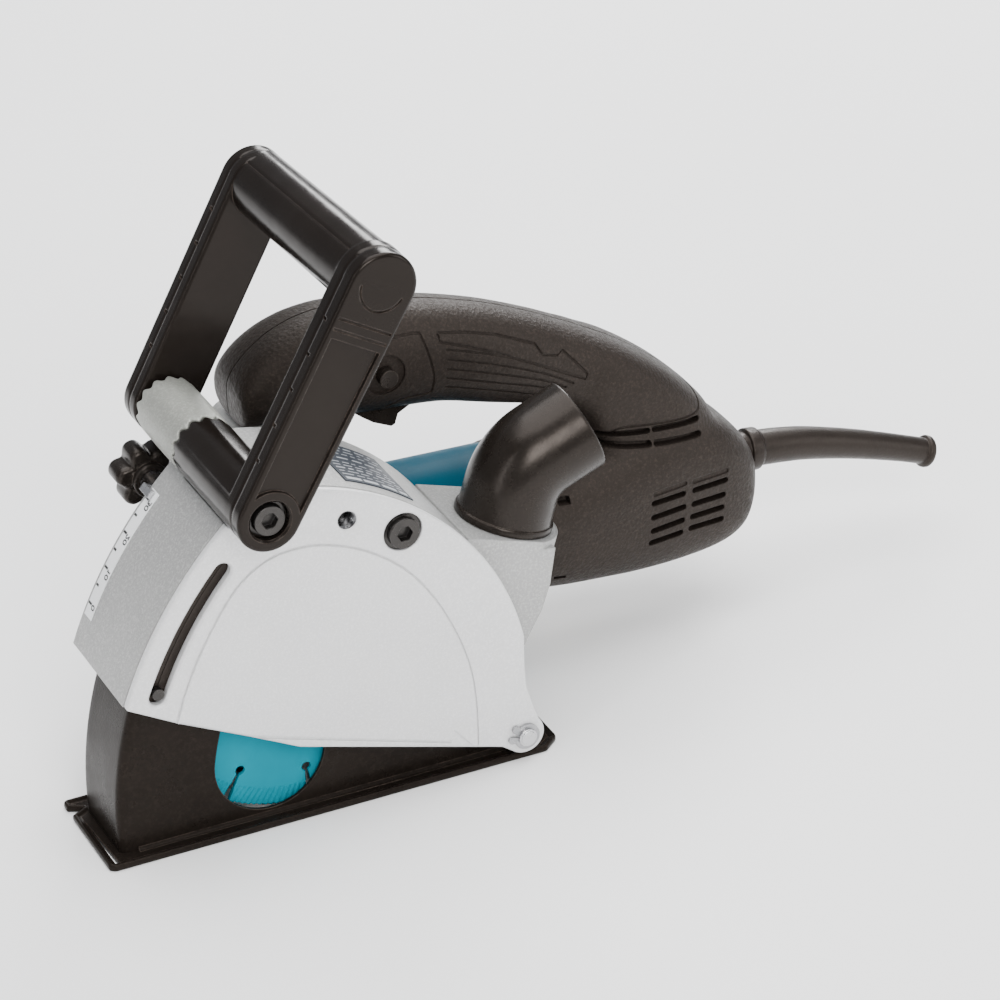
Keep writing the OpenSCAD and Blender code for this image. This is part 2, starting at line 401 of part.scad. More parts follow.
module vents(y0, y1) {
  $fn = 14;
  for (i = [0:1]) { vent(75, 99.2 - 5.6 * i, 94.5, 98.4 - 6.2 * i, 1.6, y0, y1); vent(99, 98.2 - 5.9 * i, 119, 97.6 - 6 * i, 1.6, y0, y1); }
  for (i = [0:3]) { vent(91.5, 67.4 - 5.9 * i, 106, 67.7 - 5.9 * i, 1.6, y0, y1); vent(112, 67.9 - 5.8 * i, 128, 68.1 - 5.9 * i, 1.6, y0, y1); }
}
module handle_shell() difference() {
  union() {
    difference() { handle_outer(); handle_inner(); }
    intersection() { union() { $fn = 20; for (q = screw_pts) rod_y(q[0], q[1], q[2] - 1.2, ym - 34, ym + 34); } handle_outer(); }
  }
  // trigger opening, cord outlet, motor spigot, air slots
  translate([-41.2, ym - 9.4, 118]) cube([34, 18.8, 24]);
  motor_frame() rotate([0, 90, 0]) translate([0, 0, 120]) cylinder(r = 31, h = 68, $fn = 48);
  translate([140.4, ym, 64.9]) rotate([0, 96, 0]) cylinder(r = 8.25, h = 20, $fn = 32);
  vents(ym - 60, ym - 20);
  vents(ym + 20, ym + 60);
  for (x = [-77, -62]) translate([x, ym, 130]) cylinder(r = 2.25, h = 14.5, $fn = 16);
  for (q = screw_pts) rod_y(q[0], q[1], 1.95, ym - 13, ym + 7);
  for (q = screw_pts) rod_y(q[0], q[1], 3.7, ym + 7, ym + 60);
  rod_y(-26, 153.8, 4.05, ym - 40, ym);
}
module handle_left() color("#3a352f") place() difference() {
  handle_shell();
  translate([-200, ym, 0]) cube([500, 100, 260]);
  translate([-26, ym - 21.6, 153.8]) rotate([90, 0, 0]) cylinder(r1 = 6.5, r2 = 9.5, h = 4, $fn = 32);
}
module handle_right() color("#3a352f") place() difference() {
  handle_shell();
  translate([-200, ym - 100, 0]) cube([500, 100, 260]);
}
module handle_screws() color("#4a4a48") place() {
  for (q = screw_pts) difference() {
    union() { rod_y(q[0], q[1], 1.9, ym - 12.6, ym + 7); rod_y(q[0], q[1], 3.5, ym + 7, ym + 10); }
    translate([q[0] - 2, ym + 8.6, q[1] - 0.5]) cube([4, 3, 1]);
    translate([q[0] - 0.5, ym + 8.6, q[1] - 2]) cube([1, 3, 4]);
  }
  for (x = [-77, -62]) translate([x, ym, 131.5]) { cylinder(r = 2.1, h = 11); translate([0, 0, 11]) cylinder(r = 3.6, h = 3); }
}
module switch_body() color("#2d2d2b") place() difference() {
  union() {
    translate([-39, ym - 10, 147.5]) cube([34, 20, 20]);
    translate([-34, ym - 6, 145]) cube([8, 12, 3]);
    for (y = [-6, 0, 6]) translate([-5.5, ym + y - 1.5, 152]) cube([4, 3, 6]);
  }
  rod_y(-26, 153.8, 4.3, ym - 12, ym - 5.5);
}
tx0 = -38;
tz0 = 138.5;
module trigger() color("#2b2823") place() difference() {
  slab([[-40.2, 141], [-40.2, 137], [-36, 133.6], [-32, 130.4], [-27.6, 127.2], [-19.4, 123.4], [-17.6, 124.2], [-16.2, 128.6], [-10.5, 131.6], [-8.5, 138], [-10.5, 140.5], [-30, 141]], ym - 9, ym + 9);
  rod_y(tx0, tz0, 1.6, ym - 20, ym + 20);
  translate([-30, ym - 6.6, 131]) cube([17, 13.2, 12]);
}
module trigger_spring() color("silver") place() for (i = [0:5]) translate([-21, ym, 131.8 + i * 2.45]) rotate_extrude($fn = 32) translate([3, 0]) circle(r = 0.75, $fn = 12);
module lock_button() color("#2b2823") place() {
  rod_y(-26, 153.8, 4, ym - 23.8, ym - 10.6);
  rod_y(-26, 153.8, 4, ym - 10.6, ym - 9.2);
}
module controller() color("#4b5560") place() {
  translate([103, ym - 18, 40]) cube([23, 36, 16]);
  for (y = [-10, 0, 10]) translate([104, ym + y - 2, 56]) cube([21, 1.6, 5]);
}
module capacitor() color("#c8a02a") place() translate([118, ym - 12, 76]) rotate([-90, 0, 0]) { cylinder(r = 6, h = 24); translate([0, 0, -1.5]) cylinder(r = 1, h = 27); }
// centreline of the cord guard
guard = [[139, 65], [157, 63.2], [169, 61.9], [182, 59.8], [195, 56.6], [209, 52.6], [223, 48], [236, 43.4], [247.6, 39]];
guard_r = [8.1, 8.1, 8, 7.6, 7.2, 6.8, 6.4, 6.1, 6];
function gdir(i) = let (a = guard[max(i - 1, 0)], b = guard[min(i + 1, len(guard) - 1)], d = b - a) d / norm(d);
function tube_ring(i, r, n) = let (c = guard[i], d = gdir(i)) [for (k = [0:n - 1]) let (a = 360 * k / n) [c[0] - d[1] * r * sin(a), ym + r * cos(a), c[1] + d[0] * r * sin(a)]];
module cord_guard() color("#2b2824") place() difference() {
  union() {
    loft([for (i = [0:8]) tube_ring(i, guard_r[i], 24)]);
    translate([138.3, ym, 65.1]) rotate([0, 96, 0]) cylinder(r = 10.6, h = 3.6, $fn = 32);
    translate([154, ym, 63.5]) rotate([0, 96, 0]) cylinder(r = 9.6, h = 5.4, $fn = 32);
    translate([246, ym, 39.6]) rotate([0, 110, 0]) cylinder(r = 7.4, h = 3.4, $fn = 32);
  }
  loft([for (i = [0:8]) let (c = guard[i], d = gdir(i), e = (i == 0 ? -12 : i == 8 ? 6 : 0)) [for (k = [0:15]) let (a = 360 * k / 16) [c[0] + d[0] * e - d[1] * 4.2 * sin(a), ym + 4.2 * cos(a), c[1] + d[1] * e + d[0] * 4.2 * sin(a)]]]);
}
module cord_clamp() color("#4a4a48") place() {
  difference() {
    translate([127, ym - 13, 60]) cube([9.6, 26, 5]);
    for (s = [-1, 1]) translate([132, ym + s * 9.5, 55]) cylinder(r = 1.8, h = 12);
    translate([120, ym, 66.5]) rotate([0, 90, 0]) cylinder(r = 4.2, h = 24);
  }
  for (s = [-1, 1]) translate([132, ym + s * 9.5, 57]) { cylinder(r = 1.8, h = 8); translate([0, 0, 8]) cylinder(r = 3.2, h = 2.4); }
}

// ---------------------------------------------------------------- small controls
module shaft_lock() color("#2b2823") place() {
  translate([sx - 46.5, 50, sz]) rotate([0, 90, 0]) cylinder(r = 5.5, h = 5);
  translate([sx - 42, 50, sz]) rotate([0, 90, 0]) cylinder(r = 3, h = 10);
}
module shaft_lock_spring() color("silver") place() for (i = [0:1]) translate([sx - 40.6 + i * 2.0, 50, sz]) rotate([0, 90, 0]) rotate_extrude($fn = 32) translate([4.1, 0]) circle(r = 0.7, $fn = 12);
stop_a = 41.9;
kx = P(slot_r, stop_a)[0];
kz = P(slot_r, stop_a)[1];
module depth_bolt() color("silver") place() {
  rod_y(kx, kz, 3, 21, 57);
  rod_y(kx, kz, 5.6, 20.6, 25.1);
  rod_y(kx, kz, 5.2, 29.8, 48.7);
  // pointer along the outside of the case, bent over its front face
  intersection() {
    slab([P(slot_r - 4, stop_a - 1.6), P(slot_r - 4, stop_a + 1.6), P(case_r + 2.6, stop_a + 0.5), P(case_r + 2.6, stop_a - 0.5)], 23.5, 31.6);
    union() { translate([-300, 29.7, 0]) cube([300, 1.9, 300]); difference() { translate([-300, 23.5, 0]) cube([300, 8, 300]); rod_y(0, pin_z, case_r + 0.8, 0, 40); } }
  }
}
module depth_knob() color("#22201d") place() difference() {
  union() {
    rod_y(kx, kz, 7.6, 49, 65);
    rod_y(kx, kz, 11.4, 52, 65);
    for (i = [0:5]) translate([kx, 0, kz]) rotate([0, 60 * i + 12, 0]) rod_y(10.6, 0, 4.2, 52, 65);
  }
  rod_y(kx, kz, 3.05, 40, 59);
  for (i = [0:5]) translate([kx, 0, kz]) rotate([0, 60 * i + 42, 0]) rod_y(15.2, 0, 5, 40, 70);
  rod_y(kx, kz, 5, 64, 70);
}
bx = gx + arm_l * cos(arm_a);
bz = gz + arm_l * sin(arm_a);
// the far arm is slightly shorter, steeper and slimmer at the bar
arm_l2 = arm_l - 3.2;
arm_a2 = arm_a + 1.4;
bar_r2 = bar_r - 0.8;
module arm(y0, y1, l, a, r) {
  rod_y(gx, gz, 13.5, y0, y1);
  rod_y(gx + l * cos(a), gz + l * sin(a), r, y0, y1);
  translate([gx, 0, gz]) rotate([0, -a, 0]) translate([0, y0, -13]) cube([l, y1 - y0, 26]);
}
module bar() {
  ex = gx + arm_l2 * cos(arm_a2);
  ez = gz + arm_l2 * sin(arm_a2);
  d = [ex - bx, 121, ez - bz];
  translate([bx, -51, bz]) rotate([0, acos(d[2] / norm(d)), atan2(d[1], d[0])]) translate([0, 0, 14]) cylinder(r1 = bar_r - 0.4, r2 = bar_r2 - 0.2, h = norm(d) - 26);
}
module front_grip() color("#1d1a17") place() difference() {
  union() {
    arm(-51, -36, arm_l, arm_a, bar_r);
    arm(57, 70, arm_l2, arm_a2, bar_r2);
    bar();
    // bosses either side of the holder, with a toothed face
    rod_y(gx, gz, 13.5, -37, 15.2);
  }
  // shallow troughs in the outer faces, inside a raised rim
  for (y = [[-52, -49.8, 0], [68.8, 71, 1.4]]) translate([gx, 0, gz]) rotate([0, -arm_a - y[2], 0]) translate([16, y[0], -10.2]) cube([arm_l - 28, y[1] - y[0], 20.4]);
  rod_y(gx, gz, 4, -60, 80);
  rod_y(gx, gz, 8.2, -60, -46);
  rod_y(gx, gz, 8.2, 65, 80);
  teeth_y(16.3, 1, 8, 14);
  teeth_y(55.7, 1, 8, 14);
}
module grip_bolts() color("#34312d") place() {
  difference() {
    union() { rod_y(gx, gz, 4, -46, 30); rod_y(gx, gz, 6.4, -50.4, -46); rod_y(gx, gz, 8.1, -46.8, -46); }
    hex_y(gx, gz, 3.5, -51, -47.4);
  }
  difference() {
    union() { rod_y(gx, gz, 4, 40, 65); rod_y(gx, gz, 6.4, 65, 69.4); rod_y(gx, gz, 8.1, 65, 65.8); }
    hex_y(gx, gz, 3.5, 66.4, 72);
  }
}
// swept elbow: rises along the swivel axis, bends towards the rear
bend_r = 24;
bend_a = 50;
rise = 14;
function bend_ring(a, r, n) = [for (k = [0:n - 1]) let (t = 360 * k / n) [bend_r * (1 - cos(a)) + r * cos(t) * cos(a), r * sin(t), rise + bend_r * sin(a) - r * cos(t) * sin(a)]];
function along(a, d, p) = [for (q = p) q + d * [sin(a), 0, cos(a)]];
module elbow(r, ext) {
  translate([0, 0, -ext]) cylinder(r = r, h = rise + ext);
  loft(concat([along(0, -1.5, bend_ring(0, r - 0.05, 48))], [for (i = [1:8]) bend_ring(bend_a * i / 9, r - 0.05, 48)], [along(bend_a, 1.5, bend_ring(bend_a, r - 0.05, 48))]));
  translate([bend_r, 0, rise]) rotate([0, bend_a, 0]) translate([-bend_r, 0, 0]) cylinder(r = r, h = 19 + ext);
}
module dust_nozzle() color("#26231f") place() port_frame() difference() {
  union() {
    intersection() { elbow(duct_r, 0); translate([-100, -100, 0.15]) cube([300, 200, 200]); }
    translate([0, 0, 0.15]) cylinder(r = 21, h = 3.2);
    translate([0, 0, -7]) cylinder(r = 18.18, h = 7.5);
    translate([0, 0, -7]) cylinder(r1 = 18.2, r2 = 18.9, h = 2.6);
  }
  elbow(duct_r - 2.4, 10);
  for (a = [45, 135, 225, 315]) rotate([0, 0, a]) translate([10, -1.6, -8]) cube([14, 3.2, 7.6]);
}

blade_case();
side_cover();
cover_bolt();
grip_holder();
name_plate();
depth_scale();
hinge_pin();
hinge_circlips();
return_spring();
base_shoe();
guide_pin();
gear_housing();
bearing_box();
spindle_bearing();
needle_bearing();
gear_screws();
housing_screws();
spindle();
ring_gear();
inner_flange();
spacer_rings();
near_blade();
far_blade();
lock_nut();
motor_housing();
baffle_plate();
stator_core();
stator_coils();
motor_bearing_front();
motor_bearing_rear();
armature_shaft();
armature_core();
armature_coils();
commutator();
cooling_fan();
pinion();
brush_holders();
carbon_brushes();
brush_springs();
handle_left();
handle_right();
handle_screws();
switch_body();
trigger();
trigger_spring();
lock_button();
controller();
capacitor();
cord_guard();
cord_clamp();
shaft_lock();
shaft_lock_spring();
depth_bolt();
depth_knob();
front_grip();
grip_bolts();
dust_nozzle();
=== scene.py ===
import math
import bmesh
import bpy
import numpy as np
from mathutils import Matrix, Vector


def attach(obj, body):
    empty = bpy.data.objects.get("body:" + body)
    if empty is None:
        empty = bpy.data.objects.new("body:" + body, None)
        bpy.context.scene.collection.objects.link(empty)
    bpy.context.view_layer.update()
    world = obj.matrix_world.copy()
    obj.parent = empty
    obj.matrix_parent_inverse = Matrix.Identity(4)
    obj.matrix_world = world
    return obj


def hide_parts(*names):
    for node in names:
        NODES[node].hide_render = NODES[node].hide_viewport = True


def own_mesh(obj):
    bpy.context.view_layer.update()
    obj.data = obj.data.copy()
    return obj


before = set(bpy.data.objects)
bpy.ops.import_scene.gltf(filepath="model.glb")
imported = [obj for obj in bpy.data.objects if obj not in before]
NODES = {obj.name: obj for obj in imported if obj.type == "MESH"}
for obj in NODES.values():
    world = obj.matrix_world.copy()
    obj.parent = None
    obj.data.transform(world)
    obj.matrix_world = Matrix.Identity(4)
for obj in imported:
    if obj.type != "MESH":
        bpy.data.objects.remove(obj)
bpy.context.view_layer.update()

# design position of the stored origin, in millimetres
OX, OY = -33.263, -24.4
SX, SZ, YM = -98.0, 65.4, 64.0
GX, GZ = -118.0, 157.0
PIN_Z = 12.5


def V(x, y, z):
    return Vector(((x + OX) / 1000.0, (y + OY) / 1000.0, z / 1000.0))


def pts(a):
    a = np.asarray(a, float).reshape(-1, 3)
    return (a + np.array([OX, OY, 0.0])) / 1000.0


# ------------------------------------------------------------------ materials
def srgb(h):
    c = [int(h[i:i + 2], 16) / 255.0 for i in (0, 2, 4)]
    return [x / 12.92 if x <= 0.04045 else ((x + 0.055) / 1.055) ** 2.4 for x in c] + [1.0]


class Nodes:
    def __init__(self, name):
        self.m = bpy.data.materials.new(name)
        self.m.use_nodes = True
        self.t = self.m.node_tree
        self.b = self.t.nodes["Principled BSDF"]
        self.tc = self.t.nodes.new("ShaderNodeTexCoord")
        self.obj = self.tc.outputs["Object"]

    def new(self, kind, **kw):
        n = self.t.nodes.new(kind)
        for k, v in kw.items():
            setattr(n, k, v)
        return n

    def link(self, a, b):
        self.t.links.new(a, b)

    def noise(self, scale, detail=2.0, rough=0.5, dist=0.0, vec=None):
        n = self.new("ShaderNodeTexNoise")
        n.inputs["Scale"].default_value = scale
        n.inputs["Detail"].default_value = detail
        n.inputs["Roughness"].default_value = rough
        n.inputs["Distortion"].default_value = dist
        self.link(vec or self.obj, n.inputs["Vector"])
        return n.outputs["Fac"]

    def voronoi(self, scale, feature="F1", vec=None):
        n = self.new("ShaderNodeTexVoronoi", feature=feature)
        n.inputs["Scale"].default_value = scale
        self.link(vec or self.obj, n.inputs["Vector"])
        return n.outputs["Distance"]

    def remap(self, src, a, b, c, d):
        n = self.new("ShaderNodeMapRange")
        n.inputs[1].default_value = a
        n.inputs[2].default_value = b
        n.inputs[3].default_value = c
        n.inputs[4].default_value = d
        self.link(src, n.inputs[0])
        return n.outputs[0]

    def math(self, op, a, b=None):
        n = self.new("ShaderNodeMath", operation=op)
        for i, x in enumerate((a, b)):
            if x is None:
                continue
            if hasattr(x, "is_linked") or hasattr(x, "links"):
                self.link(x, n.inputs[i])
            else:
                n.inputs[i].default_value = x
        return n.outputs[0]

    def mix(self, fac, a, b):
        n = self.new("ShaderNodeMix", data_type="RGBA")
        for s, x in ((n.inputs[0], fac), (n.inputs[6], a), (n.inputs[7], b)):
            if hasattr(x, "links"):
                self.link(x, s)
            else:
                s.default_value = x
        return n.outputs[2]

    def bump(self, height, strength, dist, normal=None):
        n = self.new("ShaderNodeBump")
        n.inputs["Strength"].default_value = strength
        n.inputs["Distance"].default_value = dist
        self.link(height, n.inputs["Height"])
        if normal is not None:
            self.link(normal, n.inputs["Normal"])
        return n.outputs["Normal"]

    def bevel(self, radius):
        n = self.new("ShaderNodeBevel", samples=6)
        n.inputs["Radius"].default_value = radius
        return n.outputs["Normal"]


def sc(c, k):
    return [min(1.0, x * k) for x in c[:3]] + [1.0]


def make(name, color, rough, metal=0.0, coat=0.0, coat_rough=0.15, spec=0.5, var=0.12, vscale=35.0,
         grain=None, speck=None, edge=0.0, bevel=0.0007, rvar=0.08, soft=None, scratch=0.0, edge_highlight_gain=2.6, tint=None):
    """color, its slow variation, a fine grain bump [scale, strength, distance], a speckle [scale, amount] and lighter
    edges, partly wear and partly painted highlight
    """
    k = Nodes(name)
    b = k.b
    big = k.noise(vscale, 4.0, 0.6)
    col = k.mix(k.remap(big, 0.3, 0.7, 0.0, 1.0), sc(color, 1 - var), sc(color, 1 + var))
    if speck:
        sp = k.remap(k.noise(speck[0], 2.0, 0.75), 0.47, 0.68, 0.0, speck[1])
        col = k.mix(sp, col, sc(color, 1 + speck[2]))
    nrm = k.bevel(bevel) if bevel else None
    # lighter edges where the bevel normal turns: partly edge wear, partly a painted highlight for glints on rounded
    # edges; the gain sets how much lighter dark finishes get
    if edge and nrm is not None:
        g = k.new("ShaderNodeNewGeometry")
        d = k.new("ShaderNodeVectorMath", operation="DOT_PRODUCT")
        k.link(nrm, d.inputs[0])
        k.link(g.outputs["Normal"], d.inputs[1])
        e = k.remap(d.outputs["Value"], 0.985, 0.90, 0.0, 1.0)
        e = k.math("MULTIPLY", e, k.remap(k.noise(260.0, 3.0, 0.7), 0.35, 0.65, 0.1, edge))
        col = k.mix(e, col, sc(color, edge_highlight_gain) if max(color[:3]) < 0.3 else sc(color, 1.3))
    k.link(col, b.inputs["Base Color"])
    rr = k.remap(k.noise(vscale * 3.1, 5.0, 0.65), 0.3, 0.7, max(rough - rvar, 0.03), rough + rvar)
    k.link(rr, b.inputs["Roughness"])
    b.inputs["Metallic"].default_value = metal
    b.inputs["Specular IOR Level"].default_value = spec
    b.inputs["Coat Weight"].default_value = coat
    if tint:
        b.inputs["Specular Tint"].default_value = tint
    b.inputs["Coat Roughness"].default_value = coat_rough
    if soft:
        nrm = k.bump(k.noise(soft[0], 2.0, 0.5), soft[1], soft[2], nrm)
    if scratch:
        mp = k.new("ShaderNodeMapping")
        mp.inputs["Rotation"].default_value = (0.5, 0.9, 0.3)
        mp.inputs["Scale"].default_value = (900.0, 24.0, 24.0)
        k.link(k.obj, mp.inputs["Vector"])
        nrm = k.bump(k.noise(1.0, 3.0, 0.7, vec=mp.outputs[0]), scratch, 0.0002, nrm)
    if grain:
        nrm = k.bump(k.noise(grain[0], 3.0, 0.6), grain[1], grain[2], nrm)
    if nrm is not None:
        k.link(nrm, b.inputs["Normal"])
    return k.m


M = {}
# the blade case and the side cover are one silver casting: the case colour is painted darker and the cover colour
# lighter, shaded and lit copies of one material
M["cast"] = make("cast_silver", [0.335, 0.335, 0.33, 1], 0.42, metal=0.35, var=0.06, vscale=22, grain=[1500, 0.5, 0.0005],
                 speck=[820, 0.9, 0.42], edge=0.8, bevel=0.0011, spec=0.4)
M["cover"] = make("cover_silver_painted_lit", [0.66, 0.66, 0.665, 1], 0.42, metal=0.22, var=0.04, vscale=18, grain=[1700, 0.35, 0.0004],
                  speck=[850, 0.8, 0.16], edge=0.9, bevel=0.0012, spec=0.4)
M["gear"] = make("cast_gear_head", [0.40, 0.40, 0.39, 1], 0.44, metal=0.4, var=0.07, vscale=26, grain=[1300, 0.5, 0.0004],
                 speck=[900, 0.6, 0.3], edge=0.6, bevel=0.0012)
M["holder"] = make("holder_cast", [0.27, 0.275, 0.25, 1], 0.44, metal=0.35, var=0.10, vscale=30, grain=[1500, 0.55, 0.0005],
                   speck=[900, 0.7, 0.4], edge=0.6, bevel=0.0008)
WARM = (1.0, 0.87, 0.79, 1)
# the blacks carry a strong gain: their lighter edge lines are painted highlights
M["gloss"] = make("gloss_black", [0.0075, 0.0057, 0.0047, 1], 0.20, coat=0.04, coat_rough=0.05, spec=0.16, var=0.2, vscale=20,
                  soft=[38, 0.10, 0.004], grain=[1500, 0.06, 0.0002], edge=1.0, bevel=0.0008, rvar=0.05, scratch=0.0, edge_highlight_gain=8.0, tint=WARM)
M["satin"] = make("satin_black", [0.0090, 0.0072, 0.0060, 1], 0.27, coat=0.03, coat_rough=0.2, spec=0.24, var=0.18, vscale=30,
                  soft=[60, 0.06, 0.003], grain=[1300, 0.14, 0.0003], speck=[800, 0.4, 0.8], edge=1.0, bevel=0.0007, edge_highlight_gain=6.0, tint=WARM)
M["foot"] = make("foot_black", [0.0100, 0.0077, 0.0063, 1], 0.30, coat=0.0, spec=0.09, var=0.28, vscale=16, grain=[1100, 0.25, 0.0003],
                 speck=[600, 0.5, 0.9], edge=1.0, bevel=0.0008, scratch=0.02, edge_highlight_gain=7.0, tint=WARM)
M["teal"] = make("teal_plastic", [0.0, 0.072, 0.118, 1], 0.46, spec=0.05, var=0.08, vscale=26, grain=[1500, 0.2, 0.0003],
                 speck=[900, 0.3, 0.35], edge=0.3, bevel=0.0009)
M["blade"] = make("blade_teal", [0.0, 0.205, 0.275, 1], 0.50, metal=0.0, spec=0.05, var=0.08, vscale=40, grain=[1200, 0.15, 0.0002],
                  edge=0.4, bevel=0.0003, scratch=0.08)
M["grit"] = make("blade_rim", [0.0, 0.16, 0.24, 1], 0.6, metal=0.0, var=0.25, vscale=90, grain=[1800, 0.9, 0.0006],
                 speck=[1500, 0.7, 0.9], bevel=0.0003)
M["steel"] = make("steel", [0.60, 0.60, 0.61, 1], 0.24, metal=1.0, var=0.06, vscale=50, edge=0.3, bevel=0.0003, scratch=0.10)
M["thread"] = make("thread_metal", [0.16, 0.16, 0.165, 1], 0.28, metal=1.0, var=0.1, vscale=90, bevel=0.0001)
M["dark"] = make("dark_steel", [0.045, 0.042, 0.04, 1], 0.30, metal=0.85, var=0.15, vscale=60, edge=0.7, bevel=0.0004,
                 grain=[1500, 0.15, 0.0002])
M["spring"] = make("spring_steel", [0.38, 0.38, 0.39, 1], 0.28, metal=1.0, var=0.08, vscale=80, bevel=0.0002)
M["white"] = make("scale_white", [0.80, 0.81, 0.82, 1], 0.42, var=0.03, vscale=60, grain=[1500, 0.1, 0.0002], bevel=0.0002)
M["ink"] = make("scale_ink", [0.02, 0.02, 0.02, 1], 0.5, var=0.1, bevel=0)
M["plate"] = make("plate_grey", [0.040, 0.047, 0.058, 1], 0.40, metal=0.0, spec=0.15, var=0.10, vscale=60, grain=[1500, 0.1, 0.0002], bevel=0.0002, scratch=0.05)
M["plate_light"] = make("plate_light", [0.42, 0.44, 0.47, 1], 0.40, metal=0.1, var=0.06, vscale=60, bevel=0)
M["rubber"] = make("rubber", [0.0120, 0.0093, 0.0077, 1], 0.38, spec=0.26, tint=WARM, var=0.15, vscale=40, grain=[1100, 0.35, 0.0004], speck=[700, 0.3, 0.8], edge=0.25)
M["lam"] = make("laminations", [0.22, 0.23, 0.24, 1], 0.4, metal=0.9, var=0.1, bevel=0.0002)
M["copper"] = make("copper", [0.45, 0.16, 0.05, 1], 0.3, metal=0.7, coat=0.3, var=0.15, vscale=120, grain=[700, 0.6, 0.0006], bevel=0.0003)
M["brass"] = make("brass", [0.60, 0.42, 0.14, 1], 0.3, metal=1.0, bevel=0.0003)
M["graphite"] = make("graphite", [0.03, 0.03, 0.03, 1], 0.5, metal=0.2, bevel=0.0002)
M["switch"] = make("switch_black", [0.02, 0.02, 0.02, 1], 0.5, grain=[1100, 0.2, 0.0003])
M["fan"] = make("fan_white", [0.6, 0.59, 0.53, 1], 0.5, bevel=0.0005)
M["board"] = make("board_grey", [0.06, 0.09, 0.13, 1], 0.5, grain=[700, 0.3, 0.0003])
M["cap"] = make("cap_yellow", [0.45, 0.26, 0.03, 1], 0.3, bevel=0.0005)


def handle_mat():
    k = Nodes("handle_grain")
    b = k.b
    base = [0.0125, 0.0096, 0.0079, 1]
    big = k.noise(24.0, 4.0, 0.6)
    col = k.mix(k.remap(big, 0.3, 0.7, 0.0, 1.0), sc(base, 0.88), sc(base, 1.14))
    # lighter specks painted into the colour: painted glints on the grain
    sp = k.remap(k.noise(800.0, 3.0, 0.75), 0.50, 0.70, 0.0, 0.85)
    col = k.mix(sp, col, sc(base, 2.5))
    k.link(col, b.inputs["Base Color"])
    k.link(k.remap(k.noise(420.0, 4.0, 0.6), 0.3, 0.7, 0.40, 0.58), b.inputs["Roughness"])
    b.inputs["Specular IOR Level"].default_value = 0.22
    b.inputs["Specular Tint"].default_value = WARM
    n = k.bevel(0.0006)
    n = k.bump(k.voronoi(620.0), 0.35, 0.0005, n)
    n = k.bump(k.noise(1500.0, 3.0, 0.7), 0.45, 0.0004, n)
    k.link(n, b.inputs["Normal"])
    return k.m


M["handle"] = handle_mat()
M["vent"] = make("vent_dark", [0.006, 0.005, 0.0045, 1], 0.7, bevel=0)


# ------------------------------------------------------------------ mesh tools
def obj_from(name, verts, faces, mat, body, replaces=(), angle=35.0, mm=True):
    me = bpy.data.meshes.new(name)
    v = pts(verts) if mm else np.asarray(verts, float)
    me.from_pydata(v.tolist(), [], [tuple(int(i) for i in f) for f in faces])
    me.update()
    bm = bmesh.new()
    bm.from_mesh(me)
    bmesh.ops.remove_doubles(bm, verts=bm.verts, dist=1e-7)
    bmesh.ops.recalc_face_normals(bm, faces=bm.faces)
    bm.to_mesh(me)
    bm.free()
    me.materials.append(mat)
    for p in me.polygons:
        p.use_smooth = True
    if angle:
        me.set_sharp_from_angle(angle=math.radians(angle))
    o = bpy.data.objects.new(name, me)
    bpy.context.scene.collection.objects.link(o)
    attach(o, body)
    if replaces:
        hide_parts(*replaces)
    return o


def rings(rs, cap=True, closed=False):
    """quads between rings of equal length"""
    n = len(rs[0])
    v = np.concatenate([np.asarray(r, float).reshape(-1, 3) for r in rs])
    f = []
    m = len(rs)
    for j in range(m if closed else m - 1):
        a, b = j * n, ((j + 1) % m) * n
        for i in range(n):
            f.append((a + i, a + (i + 1) % n, b + (i + 1) % n, b + i))
    if cap and not closed:
        for j in (0, m - 1):
            c = v[j * n:(j + 1) * n].mean(0)
            v = np.vstack([v, c])
            k = len(v) - 1
            f += [(j * n + i, j * n + (i + 1) % n, k) for i in range(n)]
    return v, f


def join(parts):
    V_, F_ = [], []
    base = 0
    for v, f in parts:
        V_.append(np.asarray(v, float))
        F_ += [tuple(i + base for i in q) for q in f]
        base += len(v)
    return np.vstack(V_), F_


def turned(profile, place, n=96, wob=None):
    """rings from [radius, height] points; place(r cos, r sin, h, i, j)"""
    rs = []
    for j, (r, h) in enumerate(profile):
        a = np.linspace(0, 2 * np.pi, n, endpoint=False)
        rs.append(place(max(r, 1e-4) * np.cos(a), max(r, 1e-4) * np.sin(a), h + (wob(a, j) if wob else 0) + 0 * a))
    return rings(rs, cap=True)


def about_y(x0, z0):
    return lambda a, b, h: np.stack([x0 + a, h, z0 + b], 1)


def arc_fillet(p, steps=5):
    """profile list of [r, h, fillet]: rounds each corner"""
    out = []
    for i, q in enumerate(p):
        f = q[2] if len(q) > 2 else 0
        c = np.array(q[:2], float)
        if f <= 0 or i in (0, len(p) - 1):
            out.append(tuple(c))
            continue
        a = np.array(p[i - 1][:2], float)
        b = np.array(p[i + 1][:2], float)
        la, lb = np.linalg.norm(a - c), np.linalg.norm(b - c)
        f = min(f, la * 0.49, lb * 0.49)
        pa, pb = c + (a - c) / la * f, c + (b - c) / lb * f
        for s in range(steps + 1):
            t = s / steps
            out.append(tuple((1 - t) ** 2 * pa + 2 * t * (1 - t) * c + t * t * pb))
    return out


def bevel_stack(o, width=0.6, segs=2, angle=32.0):
    """rounds a CAD node's edges without touching its mesh"""
    w = o.modifiers.new("weld", "WELD")
    w.merge_threshold = 2e-6
    d = o.modifiers.new("flat", "DECIMATE")
    d.decimate_type = "DISSOLVE"
    d.angle_limit = math.radians(1.0)
    b = o.modifiers.new("round", "BEVEL")
    b.width = width / 1000.0
    b.segments = segs
    b.limit_method = "ANGLE"
    b.angle_limit = math.radians(angle)
    b.use_clamp_overlap = True
    b.harden_normals = True
    b.miter_outer = "MITER_ARC"


def set_mat(node, key):
    o = NODES[node]
    for i in range(max(1, len(o.data.materials))):
        if i < len(o.data.materials):
            o.material_slots[i].material = M[key]
        else:
            o.data.materials.append(M[key])


